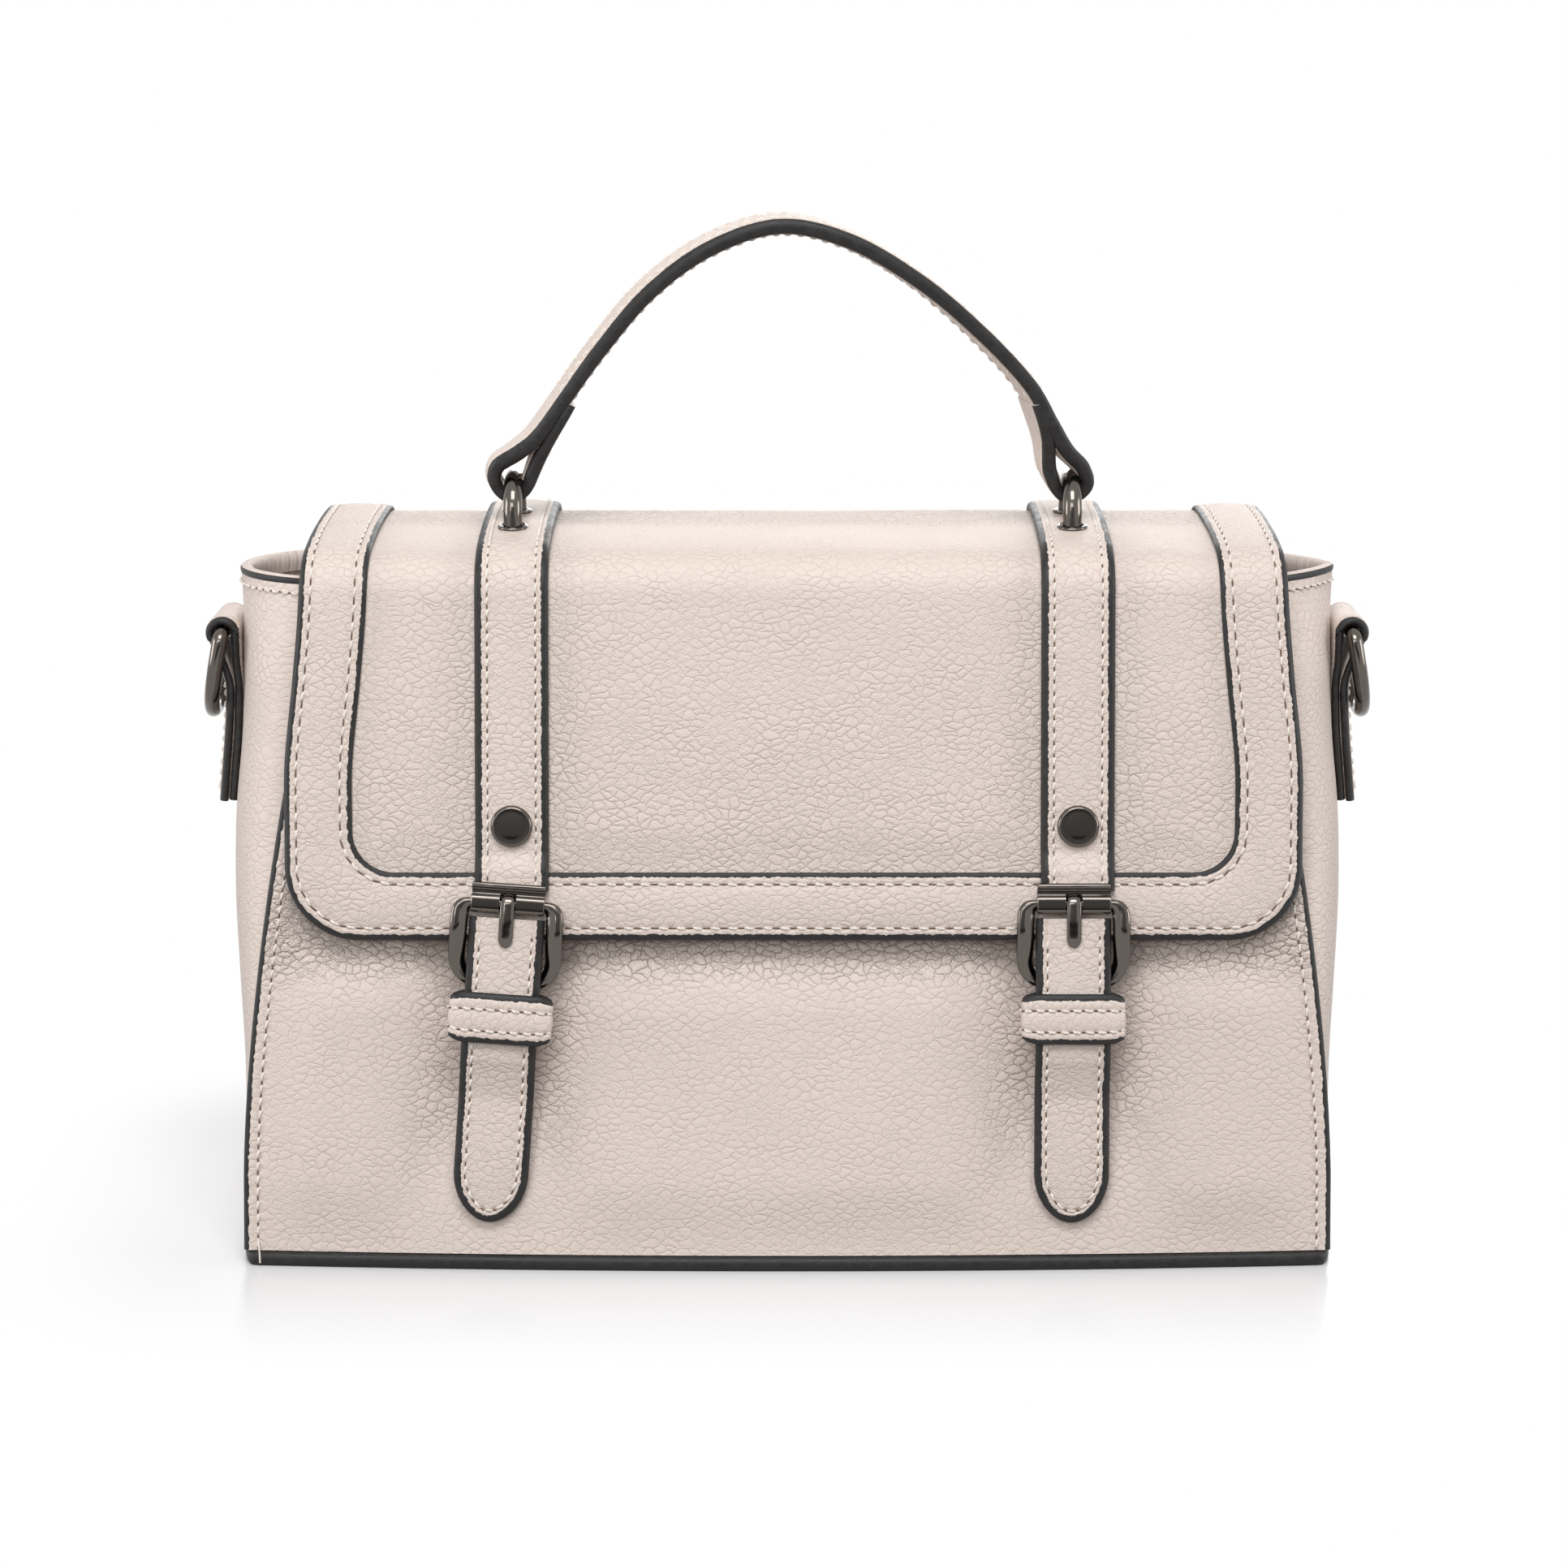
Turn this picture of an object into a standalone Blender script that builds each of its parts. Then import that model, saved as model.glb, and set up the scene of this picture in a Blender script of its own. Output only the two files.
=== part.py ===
"""A small structured crossbody bag: a leaning box body, a flap that is hinged at the rear
top edge, a top handle on two staples, two buckled straps and a ring on each side.

Metres, +Z up. The front faces -Y and +X is to the right as the front is seen.
The origin is the middle of the base, on the surface that the bag stands on.
"""

import math

import bmesh
import bpy
from mathutils import Matrix, Vector

# Clearances, and the fineness of round shapes
GAP = 0.0003
MM = 0.001
CUT_DEPTH = 0.006
HOLE_SIDES = 12
BORE_SIDES = 16
QUARTER_STEPS = 4

# Body: two leaning panels, two bulging gussets and a flat base
PANEL_THICK = 0.0024
GUSSET_THICK = 0.0018
LINING_THICK = 0.0008
LINING_GAP = 0.0007
BASE_THICK = 0.0033
BOARD_THICK = 0.0016
BASE_HALF_DEPTH = 0.054
TOP_HALF_DEPTH = 0.027
LEAN_HEIGHT = 0.168
RIM_Z = 0.1635
FRONT_TOP_Z = 0.1614
BACK_TOP_Z = 0.1660
LEVELS = (0.0036, 0.0055, 0.020, 0.040, 0.060, 0.078, 0.100, 0.125, 0.145, FRONT_TOP_Z)
PANEL_HALF_WIDTH = 0.1326
PANEL_TOP_TAPER = 0.0206
TAPER_START_Z = 0.020
TAPER_POWER = 1.62
SEAM_INSET = 0.003
BELLY_TOP_Z = 0.078
FRONT_BELLY = 0.0045
BACK_BELLY = 0.0020
GUSSET_SIDE = ((0.0, 0.1340), (0.022, 0.1345), (0.045, 0.1352), (0.065, 0.1367), (0.085, 0.1378),
               (0.105, 0.1374), (0.125, 0.1355), (0.145, 0.1349), (0.1635, 0.1355))
GUSSET_ROUND = 2.5
WALL_STEPS = 10
SIDE_STEPS = 12
BASE_PROUD = 0.0008
BAND_HALF_WIDTH = 0.117
BAND_BOTTOM_Z = 0.148
BAND_THICK = 0.0013

# Flap: the outer line of its leather in the YZ plane, from the rear edge to the front slope
FLAP_CENTRE_X = 0.0015
FLAP_LINE = ((0.0302, 0.1690), (0.0290, 0.1722), (0.0258, 0.1738), (0.0210, 0.1742),
             (0.0100, 0.1741), (0.0000, 0.1736), (-0.0100, 0.1727), (-0.0185, 0.1714),
             (-0.0242, 0.1701), (-0.0285, 0.1676), (-0.0309, 0.1640))
FLAP_STAND_OFF = 0.0035
FLAP_SLOPE_TOP_Z = 0.158
FLAP_BOTTOM_Z = 0.0792
FLAP_THICK = 0.0018
# Half the flap's width as (length along the line, half width)
FLAP_HALF_WIDTHS = ((0.0, 0.1182), (0.050, 0.1188), (0.072, 0.1195), (0.090, 0.1210), (0.110, 0.1230),
                    (0.125, 0.1231), (0.152, 0.1230))
FLAP_SLOPE_STEPS = 4
FLAP_CORNER = 0.018
FLAP_LINING_INSET = 0.0015
TRIM_WIDTH = 0.0166
TRIM_THICK = 0.0012
TRIM_INNER_CORNER = 0.010
CORNER_STEPS = 6
HINGE = (0.0304, 0.1675)

# Where the straps, staples and buckles sit across the bag, as (left, right)
STRAP_X = (-0.0664, 0.0700)
STAPLE_X = (-0.0672, 0.0698)
BUCKLE_X = (-0.0672, 0.0689)

# Upper straps, sewn on the flap
UPPER_HALF_WIDTH = 0.0089
UPPER_THICK = 0.0024
UPPER_END_THICK = 0.0020
UPPER_END_SHORT = 0.0033
STRAP_STEP_Z = 0.0955
STRAP_STEP_START_Z = 0.1010
RIVET_Z = 0.1068
RIVET_SHANK = 0.0014
RIVET_HOLE = 0.0017
RIVET_SIDES = 20
# The rivet's cap as (radius, height above the strap)
RIVET_CAP = ((0.0048, 0.0), (0.0050, 0.0004), (0.0050, 0.0009), (0.0046, 0.0015), (0.0039, 0.0017))

# Staples that carry the handle
STAPLE_Y = -0.004
STAPLE_RADIUS = 0.00825
STAPLE_WIRE = 0.0023
STAPLE_TOP_Z = 0.1885
STAPLE_HOLE = 0.00265
STAPLE_SIDES = 10
STAPLE_STEPS = 12
WASHER_RADIUS = 0.00365
WASHER_HEIGHT = 0.0008

# Handle: its outer face in the XZ plane, seen from the front, as (x, z, thickness) in millimetres
HANDLE_LEAN = math.radians(5.0)
HANDLE_WIDTH = 0.0120
HANDLE_END_WIDTH = 0.0080
HANDLE_END_Z = 0.198
HANDLE_WIDE_Z = 0.214
HANDLE_COLUMNS = 4
HANDLE_STEPS = 2
CUP_RADIUS = 0.0056
CUP_REACH = 0.0053
CUP_LOW_Z = 0.184
CUP_HIGH_Z = 0.190
HANDLE_LEFT_LOOP = ((-51.7, 205.2, 2.0), (-56.6, 196.4, 2.1), (-60.2, 188.0, 2.7), (-63.0, 182.7, 2.8),
                    (-67.2, 180.1, 2.8), (-71.8, 182.2, 2.9), (-73.6, 186.8, 3.0), (-71.8, 191.6, 3.0),
                    (-67.3, 194.7, 2.9), (-62.6, 198.6, 2.9), (-56.4, 207.0, 3.0))
HANDLE_ARCH = ((-46.6, 220.3, 3.3), (-34.6, 233.9, 3.3), (-19.7, 244.4, 3.3), (-2.0, 249.9, 3.3),
               (15.8, 246.2, 3.3), (33.5, 236.2, 3.3), (48.6, 223.7, 3.3))
HANDLE_RIGHT_LOOP = ((60.2, 211.5, 3.1), (66.3, 201.6, 2.9), (70.8, 195.4, 2.9), (75.0, 190.9, 3.0),
                     (76.0, 185.6, 3.0), (73.0, 181.2, 2.8), (69.3, 180.1, 2.8), (65.6, 182.4, 2.8),
                     (63.3, 188.0, 2.7), (62.3, 196.4, 2.1), (59.4, 205.6, 2.0))

# Buckles: a local frame whose origin is the hinge axis, t up the slope, d outwards
AXIS_Z = 0.0881
AXIS_STAND_OFF = 0.0046
LEFT_TWIST = math.radians(4.0)
CLAMP_HALF_WIDTH = 0.0088
CLAMP_OUTLINE = ((-2.4, -1.6), (-2.4, 1.6), (-1.6, 2.4), (1.6, 2.4), (2.3, 1.9), (2.3, 0.6), (3.9, 0.6),
                 (3.9, 1.2), (4.3, 1.6), (4.9, 1.6), (5.3, 1.2), (5.3, -0.5), (2.3, -0.5), (2.3, -1.6),
                 (1.6, -2.3), (-1.6, -2.3))
CLAMP_BORE = 0.0018
CLAMP_SLOT_HALF = 0.0023
CLAMP_SLOT_TOP = 0.00285
FRAME_SIDES = 8
FRAME_HALF_WIDTH = 0.0113
FRAME_BOTTOM_T = -0.0193
FRAME_TOP_CORNER = 0.0023
FRAME_LOW_CORNER = 0.0045
FRAME_BAR = 0.0013
FRAME_SIDE_BAR = 0.0020
FRAME_HALF_THICK = 0.0012
FRAME_BOW = ((-0.0200, -0.00245), (-0.0170, -0.0024), (-0.0140, -0.0003), (-0.0100, 0.0012),
             (-0.0050, 0.0015), (0.0, 0.0))
PRONG_HALF_WIDTH = 0.00175
PRONG_HALF_THICK = 0.00055
PRONG_TIP = 0.62
PRONG_SIDES = 8
PRONG_HOOK = 0.00215
PRONG_HOOK_START = -110.0
PRONG_HOOK_TURN = 200.0
PRONG_HOOK_STEPS = 8
PRONG_LINE = ((-3.0, 2.35), (-6.4, 2.18), (-8.7, 2.02), (-9.8, 1.90))

# Lower straps, keepers and magnetic snaps, in the buckle's frame, as (t, d) in millimetres
LOWER_THICK = 0.0020
LOWER_HALF_WIDTH = 0.0090
LOWER_LINE = ((-3.2, -0.3), (-9.0, -0.1), (-18.0, 0.15), (-25.0, 0.2), (-35.5, 0.05), (-40.0, -1.2),
              (-45.0, -2.6), (-48.5, -3.1), (-60.0, -3.1), (-66.0, -3.2), (-70.0, -3.35), (-74.0, -3.5),
              (-76.6, -3.6), (-77.6, -3.65))
POINT_START_T = -0.0655
POINT_END_T = -0.0776
POINT_ROUND = 1.9
POINT_BLUNT = 0.985
KEEPER_TOP_T = -0.0212
KEEPER_BOTTOM_T = -0.0334
# The keeper's loop as (half width, lowest d, highest d, corner)
KEEPER_OUTER = (0.0124, -0.0028, 0.0037, 0.0012)
KEEPER_INNER = (0.0099, -0.0013, 0.0017, 0.0003)
SNAP_T = -0.053
SNAP_RADIUS = 0.0054
STUD_DISC = 0.0009
STUD_RADIUS = 0.0025
STUD_DEPTH = 0.0012
SOCKET_HOLE = 0.0036
SOCKET_DEPTH = 0.0015
SOCKET_THICK = 0.0021
SOCKET_PROUD = 0.0003

# Side tabs and D-rings
TAB_HALF_WIDTH = 0.0119
TAB_BOTTOM_Z = 0.1066
TAB_THICK = 0.0042
TAB_AXIS = (0.1394, 0.1487)
TAB_LOOP = 0.0041
TAB_LOOP_TURN = -215.0
TAB_LOOP_STEPS = 13
TAB_HOLE = 0.0022
TAB_STAND_OFF = 0.0004
TAB_LEVELS = (TAB_BOTTOM_Z, 0.115, 0.125, 0.140)
RING_WIRE = 0.0019
RING_HALF_WIDTH = 0.0141
RING_SIDE = 0.0072
RING_CORNER = 0.0025
RING_LEAN = math.radians(10.5)
RING_SIDES = 8
RING_CORNER_STEPS = 3
RING_BOW_STEPS = 10

# Colours, linear RGB, with roughness and metallic
LEATHER = ((0.716, 0.630, 0.570), 0.55, 0.0)
SUEDE = ((0.640, 0.480, 0.400), 0.80, 0.0)
BOARD = ((0.250, 0.200, 0.150), 0.90, 0.0)
EDGE_INK = ((0.024, 0.022, 0.022), 0.50, 0.0)
GUNMETAL = ((0.130, 0.115, 0.100), 0.25, 1.0)


def clear_scene():
    """Remove every object that the scene holds."""
    for old in list(bpy.data.objects):
        bpy.data.objects.remove(old, do_unlink=True)


def finish_object(name, mesh_data, finish, smooth_angle=40.0):
    """Make a named object from a bmesh, with its material and smooth shading."""
    bmesh.ops.recalc_face_normals(mesh_data, faces=mesh_data.faces)
    mesh = bpy.data.meshes.new(name)
    mesh_data.to_mesh(mesh)
    mesh_data.free()
    mesh.shade_smooth()
    mesh.set_sharp_from_angle(angle=math.radians(smooth_angle))
    colour, roughness, metallic = finish
    material = bpy.data.materials.new(name)
    material.use_nodes = True
    shader = material.node_tree.nodes["Principled BSDF"]
    shader.inputs["Base Color"].default_value = (*colour, 1.0)
    shader.inputs["Roughness"].default_value = roughness
    shader.inputs["Metallic"].default_value = metallic
    mesh.materials.append(material)
    made = bpy.data.objects.new(name, mesh)
    bpy.context.scene.collection.objects.link(made)
    return made


def make_joint(name, location, parent=None):
    """An empty on a joint's axis, which carries the pieces that move with it."""
    empty = bpy.data.objects.new(name, None)
    empty.empty_display_size = 0.01
    bpy.context.scene.collection.objects.link(empty)
    empty.location = location
    if parent is not None:
        carry(empty, parent)
    return empty


def carry(piece, parent):
    """Parent a piece and leave it where it is."""
    bpy.context.view_layer.update()
    piece.parent = parent
    piece.matrix_parent_inverse = parent.matrix_world.inverted()


def set_origin(piece, point):
    """Put an object's origin on its joint's axis without moving its shape."""
    piece.data.transform(Matrix.Translation(-Vector(point)))
    piece.location = point


def cut(piece, cutter):
    """Take a hidden cutter out of a piece with a Boolean."""
    cutter.hide_render = True
    cutter.display_type = "WIRE"
    modifier = piece.modifiers.new("cut " + cutter.name, "BOOLEAN")
    modifier.operation = "DIFFERENCE"
    modifier.object = cutter


def join_rings(mesh_data, rings, closed_ends=True, closed_path=False):
    """Skin equal rings of points one after another, with caps or as a closed path."""
    rows = [[mesh_data.verts.new(point) for point in ring] for ring in rings]
    count = len(rows[0])
    following = rows[1:] + rows[:1] if closed_path else rows[1:]
    for row, after in zip(rows, following):
        for i in range(count):
            k = (i + 1) % count
            mesh_data.faces.new((row[i], row[k], after[k], after[i]))
    if closed_ends and not closed_path:
        mesh_data.faces.new(list(reversed(rows[0])))
        mesh_data.faces.new(rows[-1])


def skin(name, rings, finish, closed_path=False):
    """One closed solid through a run of rings."""
    mesh_data = bmesh.new()
    join_rings(mesh_data, rings, closed_path=closed_path)
    return finish_object(name, mesh_data, finish)


def sheet(name, outer, inner, finish):
    """One closed solid between two grids of points with the same rows and columns."""
    mesh_data = bmesh.new()
    sides = []
    for grid in (outer, inner):
        sides.append([[mesh_data.verts.new(point) for point in row] for row in grid])
    rows = len(outer)
    columns = len(outer[0])
    for grid in sides:
        for r in range(rows - 1):
            for c in range(columns - 1):
                mesh_data.faces.new((grid[r][c], grid[r][c + 1], grid[r + 1][c + 1], grid[r + 1][c]))
    front, back = sides
    rim = [(0, c) for c in range(columns)]
    rim += [(r, columns - 1) for r in range(1, rows)]
    rim += [(rows - 1, c) for c in range(columns - 2, -1, -1)]
    rim += [(r, 0) for r in range(rows - 2, 0, -1)]
    for (r, c), (s, d) in zip(rim, rim[1:] + rim[:1]):
        mesh_data.faces.new((front[r][c], front[s][d], back[s][d], back[r][c]))
    return finish_object(name, mesh_data, finish)


def turned(name, profile, finish, place, sides=16):
    """A solid turned about local Z from (radius, height) points, then placed."""
    rings = []
    for radius, height in profile:
        ring = []
        for i in range(sides):
            angle = 2.0 * math.pi * i / sides
            ring.append(place @ Vector((radius * math.cos(angle), radius * math.sin(angle), height)))
        rings.append(ring)
    return skin(name, rings, finish)


def turned_ring(name, profile, finish, place, sides=16):
    """A turned solid whose profile is a closed outline clear of the axis."""
    rings = []
    for i in range(sides):
        angle = 2.0 * math.pi * i / sides
        rings.append([place @ Vector((r * math.cos(angle), r * math.sin(angle), h)) for r, h in profile])
    return skin(name, rings, finish, closed_path=True)


def cylinder_cutter(name, radius, start, end, sides=HOLE_SIDES):
    """A hidden round cutter between two points."""
    axis = Vector(end) - Vector(start)
    turn = axis.to_track_quat("Z", "Y").to_matrix().to_4x4()
    place = Matrix.Translation(Vector(start)) @ turn
    return turned(name, ((radius, 0.0), (radius, axis.length)), BOARD, place, sides)


def arc(centre, radius, start, turn, steps):
    """Points of an arc in a plane, which turns from one angle by another, both in degrees."""
    points = []
    for i in range(steps + 1):
        angle = math.radians(start + turn * i / steps)
        points.append((centre[0] + radius * math.cos(angle), centre[1] + radius * math.sin(angle)))
    return points


def direction(path, i, closed=False):
    """The way that a path of vectors runs at one of its points."""
    last = len(path) - 1
    before = path[i - 1] if closed else path[max(i - 1, 0)]
    after = path[(i + 1) % len(path)] if closed else path[min(i + 1, last)]
    return (after - before).normalized()


def smooth_line(points, steps):
    """A smooth curve through vectors, with equal steps from each to the next."""
    line = []
    last = len(points) - 1
    for k in range(last):
        start = points[k]
        end = points[k + 1]
        leave = (end - points[max(k - 1, 0)]) * 0.5
        reach = (points[min(k + 2, last)] - start) * 0.5
        for i in range(steps):
            u = i / steps
            line.append(start * (2 * u ** 3 - 3 * u ** 2 + 1) + leave * (u ** 3 - 2 * u ** 2 + u)
                        + end * (3 * u ** 2 - 2 * u ** 3) + reach * (u ** 3 - u ** 2))
    line.append(points[last])
    return line


def read_table(table, at):
    """A smooth curve through the points of a table."""
    last = len(table) - 1
    k = 0
    while k < last - 1 and at > table[k + 1][0]:
        k += 1
    x0, y0 = table[k]
    x1, y1 = table[k + 1]
    before = table[max(k - 1, 0)]
    after = table[min(k + 2, last)]
    slope0 = (y1 - before[1]) / (x1 - before[0])
    slope1 = (after[1] - y0) / (after[0] - x0)
    span = x1 - x0
    u = min(max((at - x0) / span, 0.0), 1.0)
    start = (2 * u ** 3 - 3 * u ** 2 + 1) * y0 + (u ** 3 - 2 * u ** 2 + u) * span * slope0
    end = (3 * u ** 2 - 2 * u ** 3) * y1 + (u ** 3 - u ** 2) * span * slope1
    return start + end


def half_depth(z):
    """Half the body's depth at a height, before any belly."""
    return BASE_HALF_DEPTH + (TOP_HALF_DEPTH - BASE_HALF_DEPTH) * z / LEAN_HEIGHT


def panel_edge(z):
    """Half the width of the front and back panels at a height."""
    rise = max(z - TAPER_START_Z, 0.0) / (RIM_Z - TAPER_START_Z)
    return PANEL_HALF_WIDTH - PANEL_TOP_TAPER * rise ** TAPER_POWER


def belly(x, z, amount):
    """How far a panel's lower part swells out."""
    seam = panel_edge(z) - SEAM_INSET
    across = max(0.0, 1.0 - (x / seam) ** 2)
    return amount * across * max(0.0, 1.0 - z / BELLY_TOP_Z)


def front_y(x, z):
    """The front panel's outer face."""
    return -half_depth(z) - belly(x, z, FRONT_BELLY)


def back_y(x, z):
    """The back panel's outer face."""
    return half_depth(z) + belly(x, z, BACK_BELLY)


def gusset_row(z, wall_inset, side_inset):
    """The right gusset's plan at a height, front to back, drawn in by the two insets."""
    seam = panel_edge(z) - SEAM_INSET
    reach = read_table(GUSSET_SIDE, z) - seam - side_inset
    depth = half_depth(z) - wall_inset
    row = []
    for i in range(SIDE_STEPS + 1):
        angle = math.pi * (i / SIDE_STEPS - 0.5)
        out = reach * abs(math.cos(angle)) ** (2.0 / GUSSET_ROUND)
        along = depth * math.copysign(abs(math.sin(angle)) ** (2.0 / GUSSET_ROUND), math.sin(angle))
        row.append(Vector((seam + out, along, z)))
    return row


def body_loop(z, wall_inset, side_inset):
    """The body's whole plan at a height, drawn in by the two insets."""
    seam = panel_edge(z) - SEAM_INSET
    right = gusset_row(z, wall_inset, side_inset)
    left = [Vector((-point.x, point.y, z)) for point in reversed(right)]
    front = []
    back = []
    for i in range(1, WALL_STEPS):
        x = seam * (2.0 * i / WALL_STEPS - 1.0)
        front.append(Vector((x, front_y(x, z) + wall_inset, z)))
        back.append(Vector((-x, back_y(x, z) - wall_inset, z)))
    return front + right + back + left


def make_panel(name, face_y, inward, levels, finish):
    """The front or the back panel, a leaning sheet of stiffened leather."""
    outer = []
    inner = []
    for z in levels:
        edge = panel_edge(z)
        across = [edge * (2.0 * i / WALL_STEPS - 1.0) for i in range(WALL_STEPS + 1)]
        outer.append([Vector((x, face_y(x, z), z)) for x in across])
        inner.append([Vector((x, face_y(x, z) + inward * PANEL_THICK, z)) for x in across])
    return sheet(name, outer, inner, finish)


def make_body():
    """The panels, gussets, base, board, lining and the band that the flap is sewn down with."""
    front = make_panel("front_panel", front_y, 1.0, LEVELS, LEATHER)
    make_panel("back_panel", back_y, -1.0, LEVELS + (BACK_TOP_Z,), LEATHER)
    flange = PANEL_THICK + GAP
    for side, sign in (("left", -1.0), ("right", 1.0)):
        levels = LEVELS + (RIM_Z,)
        outer = [gusset_row(z, flange, 0.0) for z in levels]
        inner = [gusset_row(z, flange + GUSSET_THICK, GUSSET_THICK) for z in levels]
        for row in outer + inner:
            for point in row:
                point.x *= sign
        sheet(side + "_gusset", outer, inner, LEATHER)
    base_loop = body_loop(0.0, -BASE_PROUD, -BASE_PROUD)
    top_loop = [Vector((point.x, point.y, BASE_THICK)) for point in base_loop]
    skin("base_panel", (base_loop, top_loop), EDGE_INK)
    inner_wall = flange + GUSSET_THICK + LINING_GAP
    inner_side = GUSSET_THICK + LINING_GAP
    board_low = LEVELS[0]
    board_loops = [body_loop(z, inner_wall, inner_side) for z in (board_low, board_low + BOARD_THICK)]
    skin("base_board", board_loops, BOARD)
    make_lining(inner_wall, inner_side)
    make_band()
    return front


def make_lining(wall, side):
    """The cloth cup inside the body, open at the top."""
    floor_z = LEVELS[0] + BOARD_THICK + GAP
    outer_levels = LEVELS[1:]
    inner_levels = (floor_z + LINING_THICK,) + LEVELS[2:]
    rings = [body_loop(z, wall, side) for z in outer_levels]
    rings += [body_loop(z, wall + LINING_THICK, side + LINING_THICK) for z in reversed(inner_levels)]
    skin("lining", rings, SUEDE)


def make_band():
    """The strip of the flap's leather that is sewn to the back panel below the hinge."""
    outer = []
    inner = []
    for z in (BAND_BOTTOM_Z, BACK_TOP_Z):
        face = half_depth(z) + GAP
        edges = (-BAND_HALF_WIDTH, BAND_HALF_WIDTH)
        outer.append([Vector((x + FLAP_CENTRE_X, face + BAND_THICK, z)) for x in edges])
        inner.append([Vector((x + FLAP_CENTRE_X, face, z)) for x in edges])
    sheet("hinge_band", outer, inner, LEATHER)


def slope_y(z):
    """The outer face of the flap's leather on its front slope."""
    return -half_depth(z) - FLAP_STAND_OFF


class FlapSurface:
    """The flap's outer line with its length, used to lay pieces on it."""

    def __init__(self):
        line = list(FLAP_LINE)
        line.append((slope_y(FLAP_SLOPE_TOP_Z), FLAP_SLOPE_TOP_Z))
        line.append((slope_y(FLAP_BOTTOM_Z), FLAP_BOTTOM_Z))
        self.points = [Vector((0.0, y, z)) for y, z in line]
        self.at = [0.0]
        for before, after in zip(self.points, self.points[1:]):
            self.at.append(self.at[-1] + (after - before).length)
        self.length = self.at[-1]
        self.slope_start = self.at[-2]
        self.normals = []
        for i in range(len(self.points)):
            before = self.points[max(i - 1, 0)]
            after = self.points[min(i + 1, len(self.points) - 1)]
            along = (after - before).normalized()
            self.normals.append(Vector((0.0, along.z, -along.y)))
        self.normals[-2] = self.normals[-1]

    def place(self, x, v, out):
        """The point at x, v along the line from the rear edge, and out from its face."""
        k = 0
        while k < len(self.at) - 2 and v > self.at[k + 1]:
            k += 1
        u = (v - self.at[k]) / (self.at[k + 1] - self.at[k])
        point = self.points[k].lerp(self.points[k + 1], u)
        normal = self.normals[k].lerp(self.normals[k + 1], u)
        return point + normal * out + Vector((x, 0.0, 0.0))

    def at_height(self, z):
        """How far along the line a height on the front slope is."""
        top = self.points[-2].z
        share = (top - z) / (top - FLAP_BOTTOM_Z)
        return self.slope_start + share * (self.length - self.slope_start)

    def over(self, y, out):
        """The height of the face over a y on the flap's top."""
        for before, after in zip(self.points, self.points[1:]):
            if after.y <= y <= before.y:
                u = (y - before.y) / (after.y - before.y)
                return before.z + (after.z - before.z) * u + out
        return self.points[0].z

    def side_stations(self):
        """The lengths at which the flap's sides have a row of points above the round corners."""
        span = self.length - FLAP_CORNER - self.slope_start
        slope = [self.slope_start + span * i / FLAP_SLOPE_STEPS for i in range(1, FLAP_SLOPE_STEPS)]
        return list(self.at[:-1]) + slope


def flap_sheet(name, surface, inset, low, high, finish):
    """A layer of the flap between two distances from its face, with round lower corners."""
    end = surface.length - inset
    corner_start = end - FLAP_CORNER
    stations = surface.side_stations()
    for i in range(CORNER_STEPS + 1):
        stations.append(corner_start + FLAP_CORNER * math.sin(0.5 * math.pi * i / CORNER_STEPS))
    rows = []
    for v in stations:
        half = read_table(FLAP_HALF_WIDTHS, v) - inset
        past = max(0.0, v - corner_start)
        half -= FLAP_CORNER - math.sqrt(max(FLAP_CORNER ** 2 - past ** 2, 0.0))
        rows.append((v, (FLAP_CENTRE_X - half, FLAP_CENTRE_X, FLAP_CENTRE_X + half)))
    grids = [[[surface.place(x, v, out) for x in xs] for v, xs in rows] for out in (high, low)]
    return sheet(name, grids[0], grids[1], finish)


def trim_pairs(surface):
    """Outer and inner points of the border strip, as (x, v), round the flap's three free sides."""
    end = surface.length
    half = read_table(FLAP_HALF_WIDTHS, end)
    reach = TRIM_WIDTH + TRIM_INNER_CORNER
    side = []
    for v in surface.side_stations()[1:]:
        width = read_table(FLAP_HALF_WIDTHS, v)
        side.append(((width, v), (width - TRIM_WIDTH, v)))
    outer_centre = (half - FLAP_CORNER, end - FLAP_CORNER)
    outer_corner = arc(outer_centre, FLAP_CORNER, 0.0, 90.0, CORNER_STEPS)
    inner_corner = arc((half - reach, end - reach), TRIM_INNER_CORNER, 0.0, 90.0, CORNER_STEPS)
    right = side + list(zip(outer_corner, inner_corner))
    left = [((-outer[0], outer[1]), (-inner[0], inner[1])) for outer, inner in reversed(right)]
    return right + left


def make_flap(surface):
    """The flap's leather, its lining and the border strip."""
    panel = flap_sheet("flap_panel", surface, 0.0, -FLAP_THICK, 0.0, LEATHER)
    lining_top = -FLAP_THICK - GAP
    lining = flap_sheet("flap_lining", surface, FLAP_LINING_INSET, lining_top - LINING_THICK,
                        lining_top, SUEDE)
    pairs = trim_pairs(surface)
    grids = [[[surface.place(x + FLAP_CENTRE_X, v, out) for x, v in pair] for pair in pairs]
             for out in (GAP + TRIM_THICK, GAP)]
    trim = sheet("flap_trim", grids[0], grids[1], LEATHER)
    return panel, lining, trim


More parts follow.
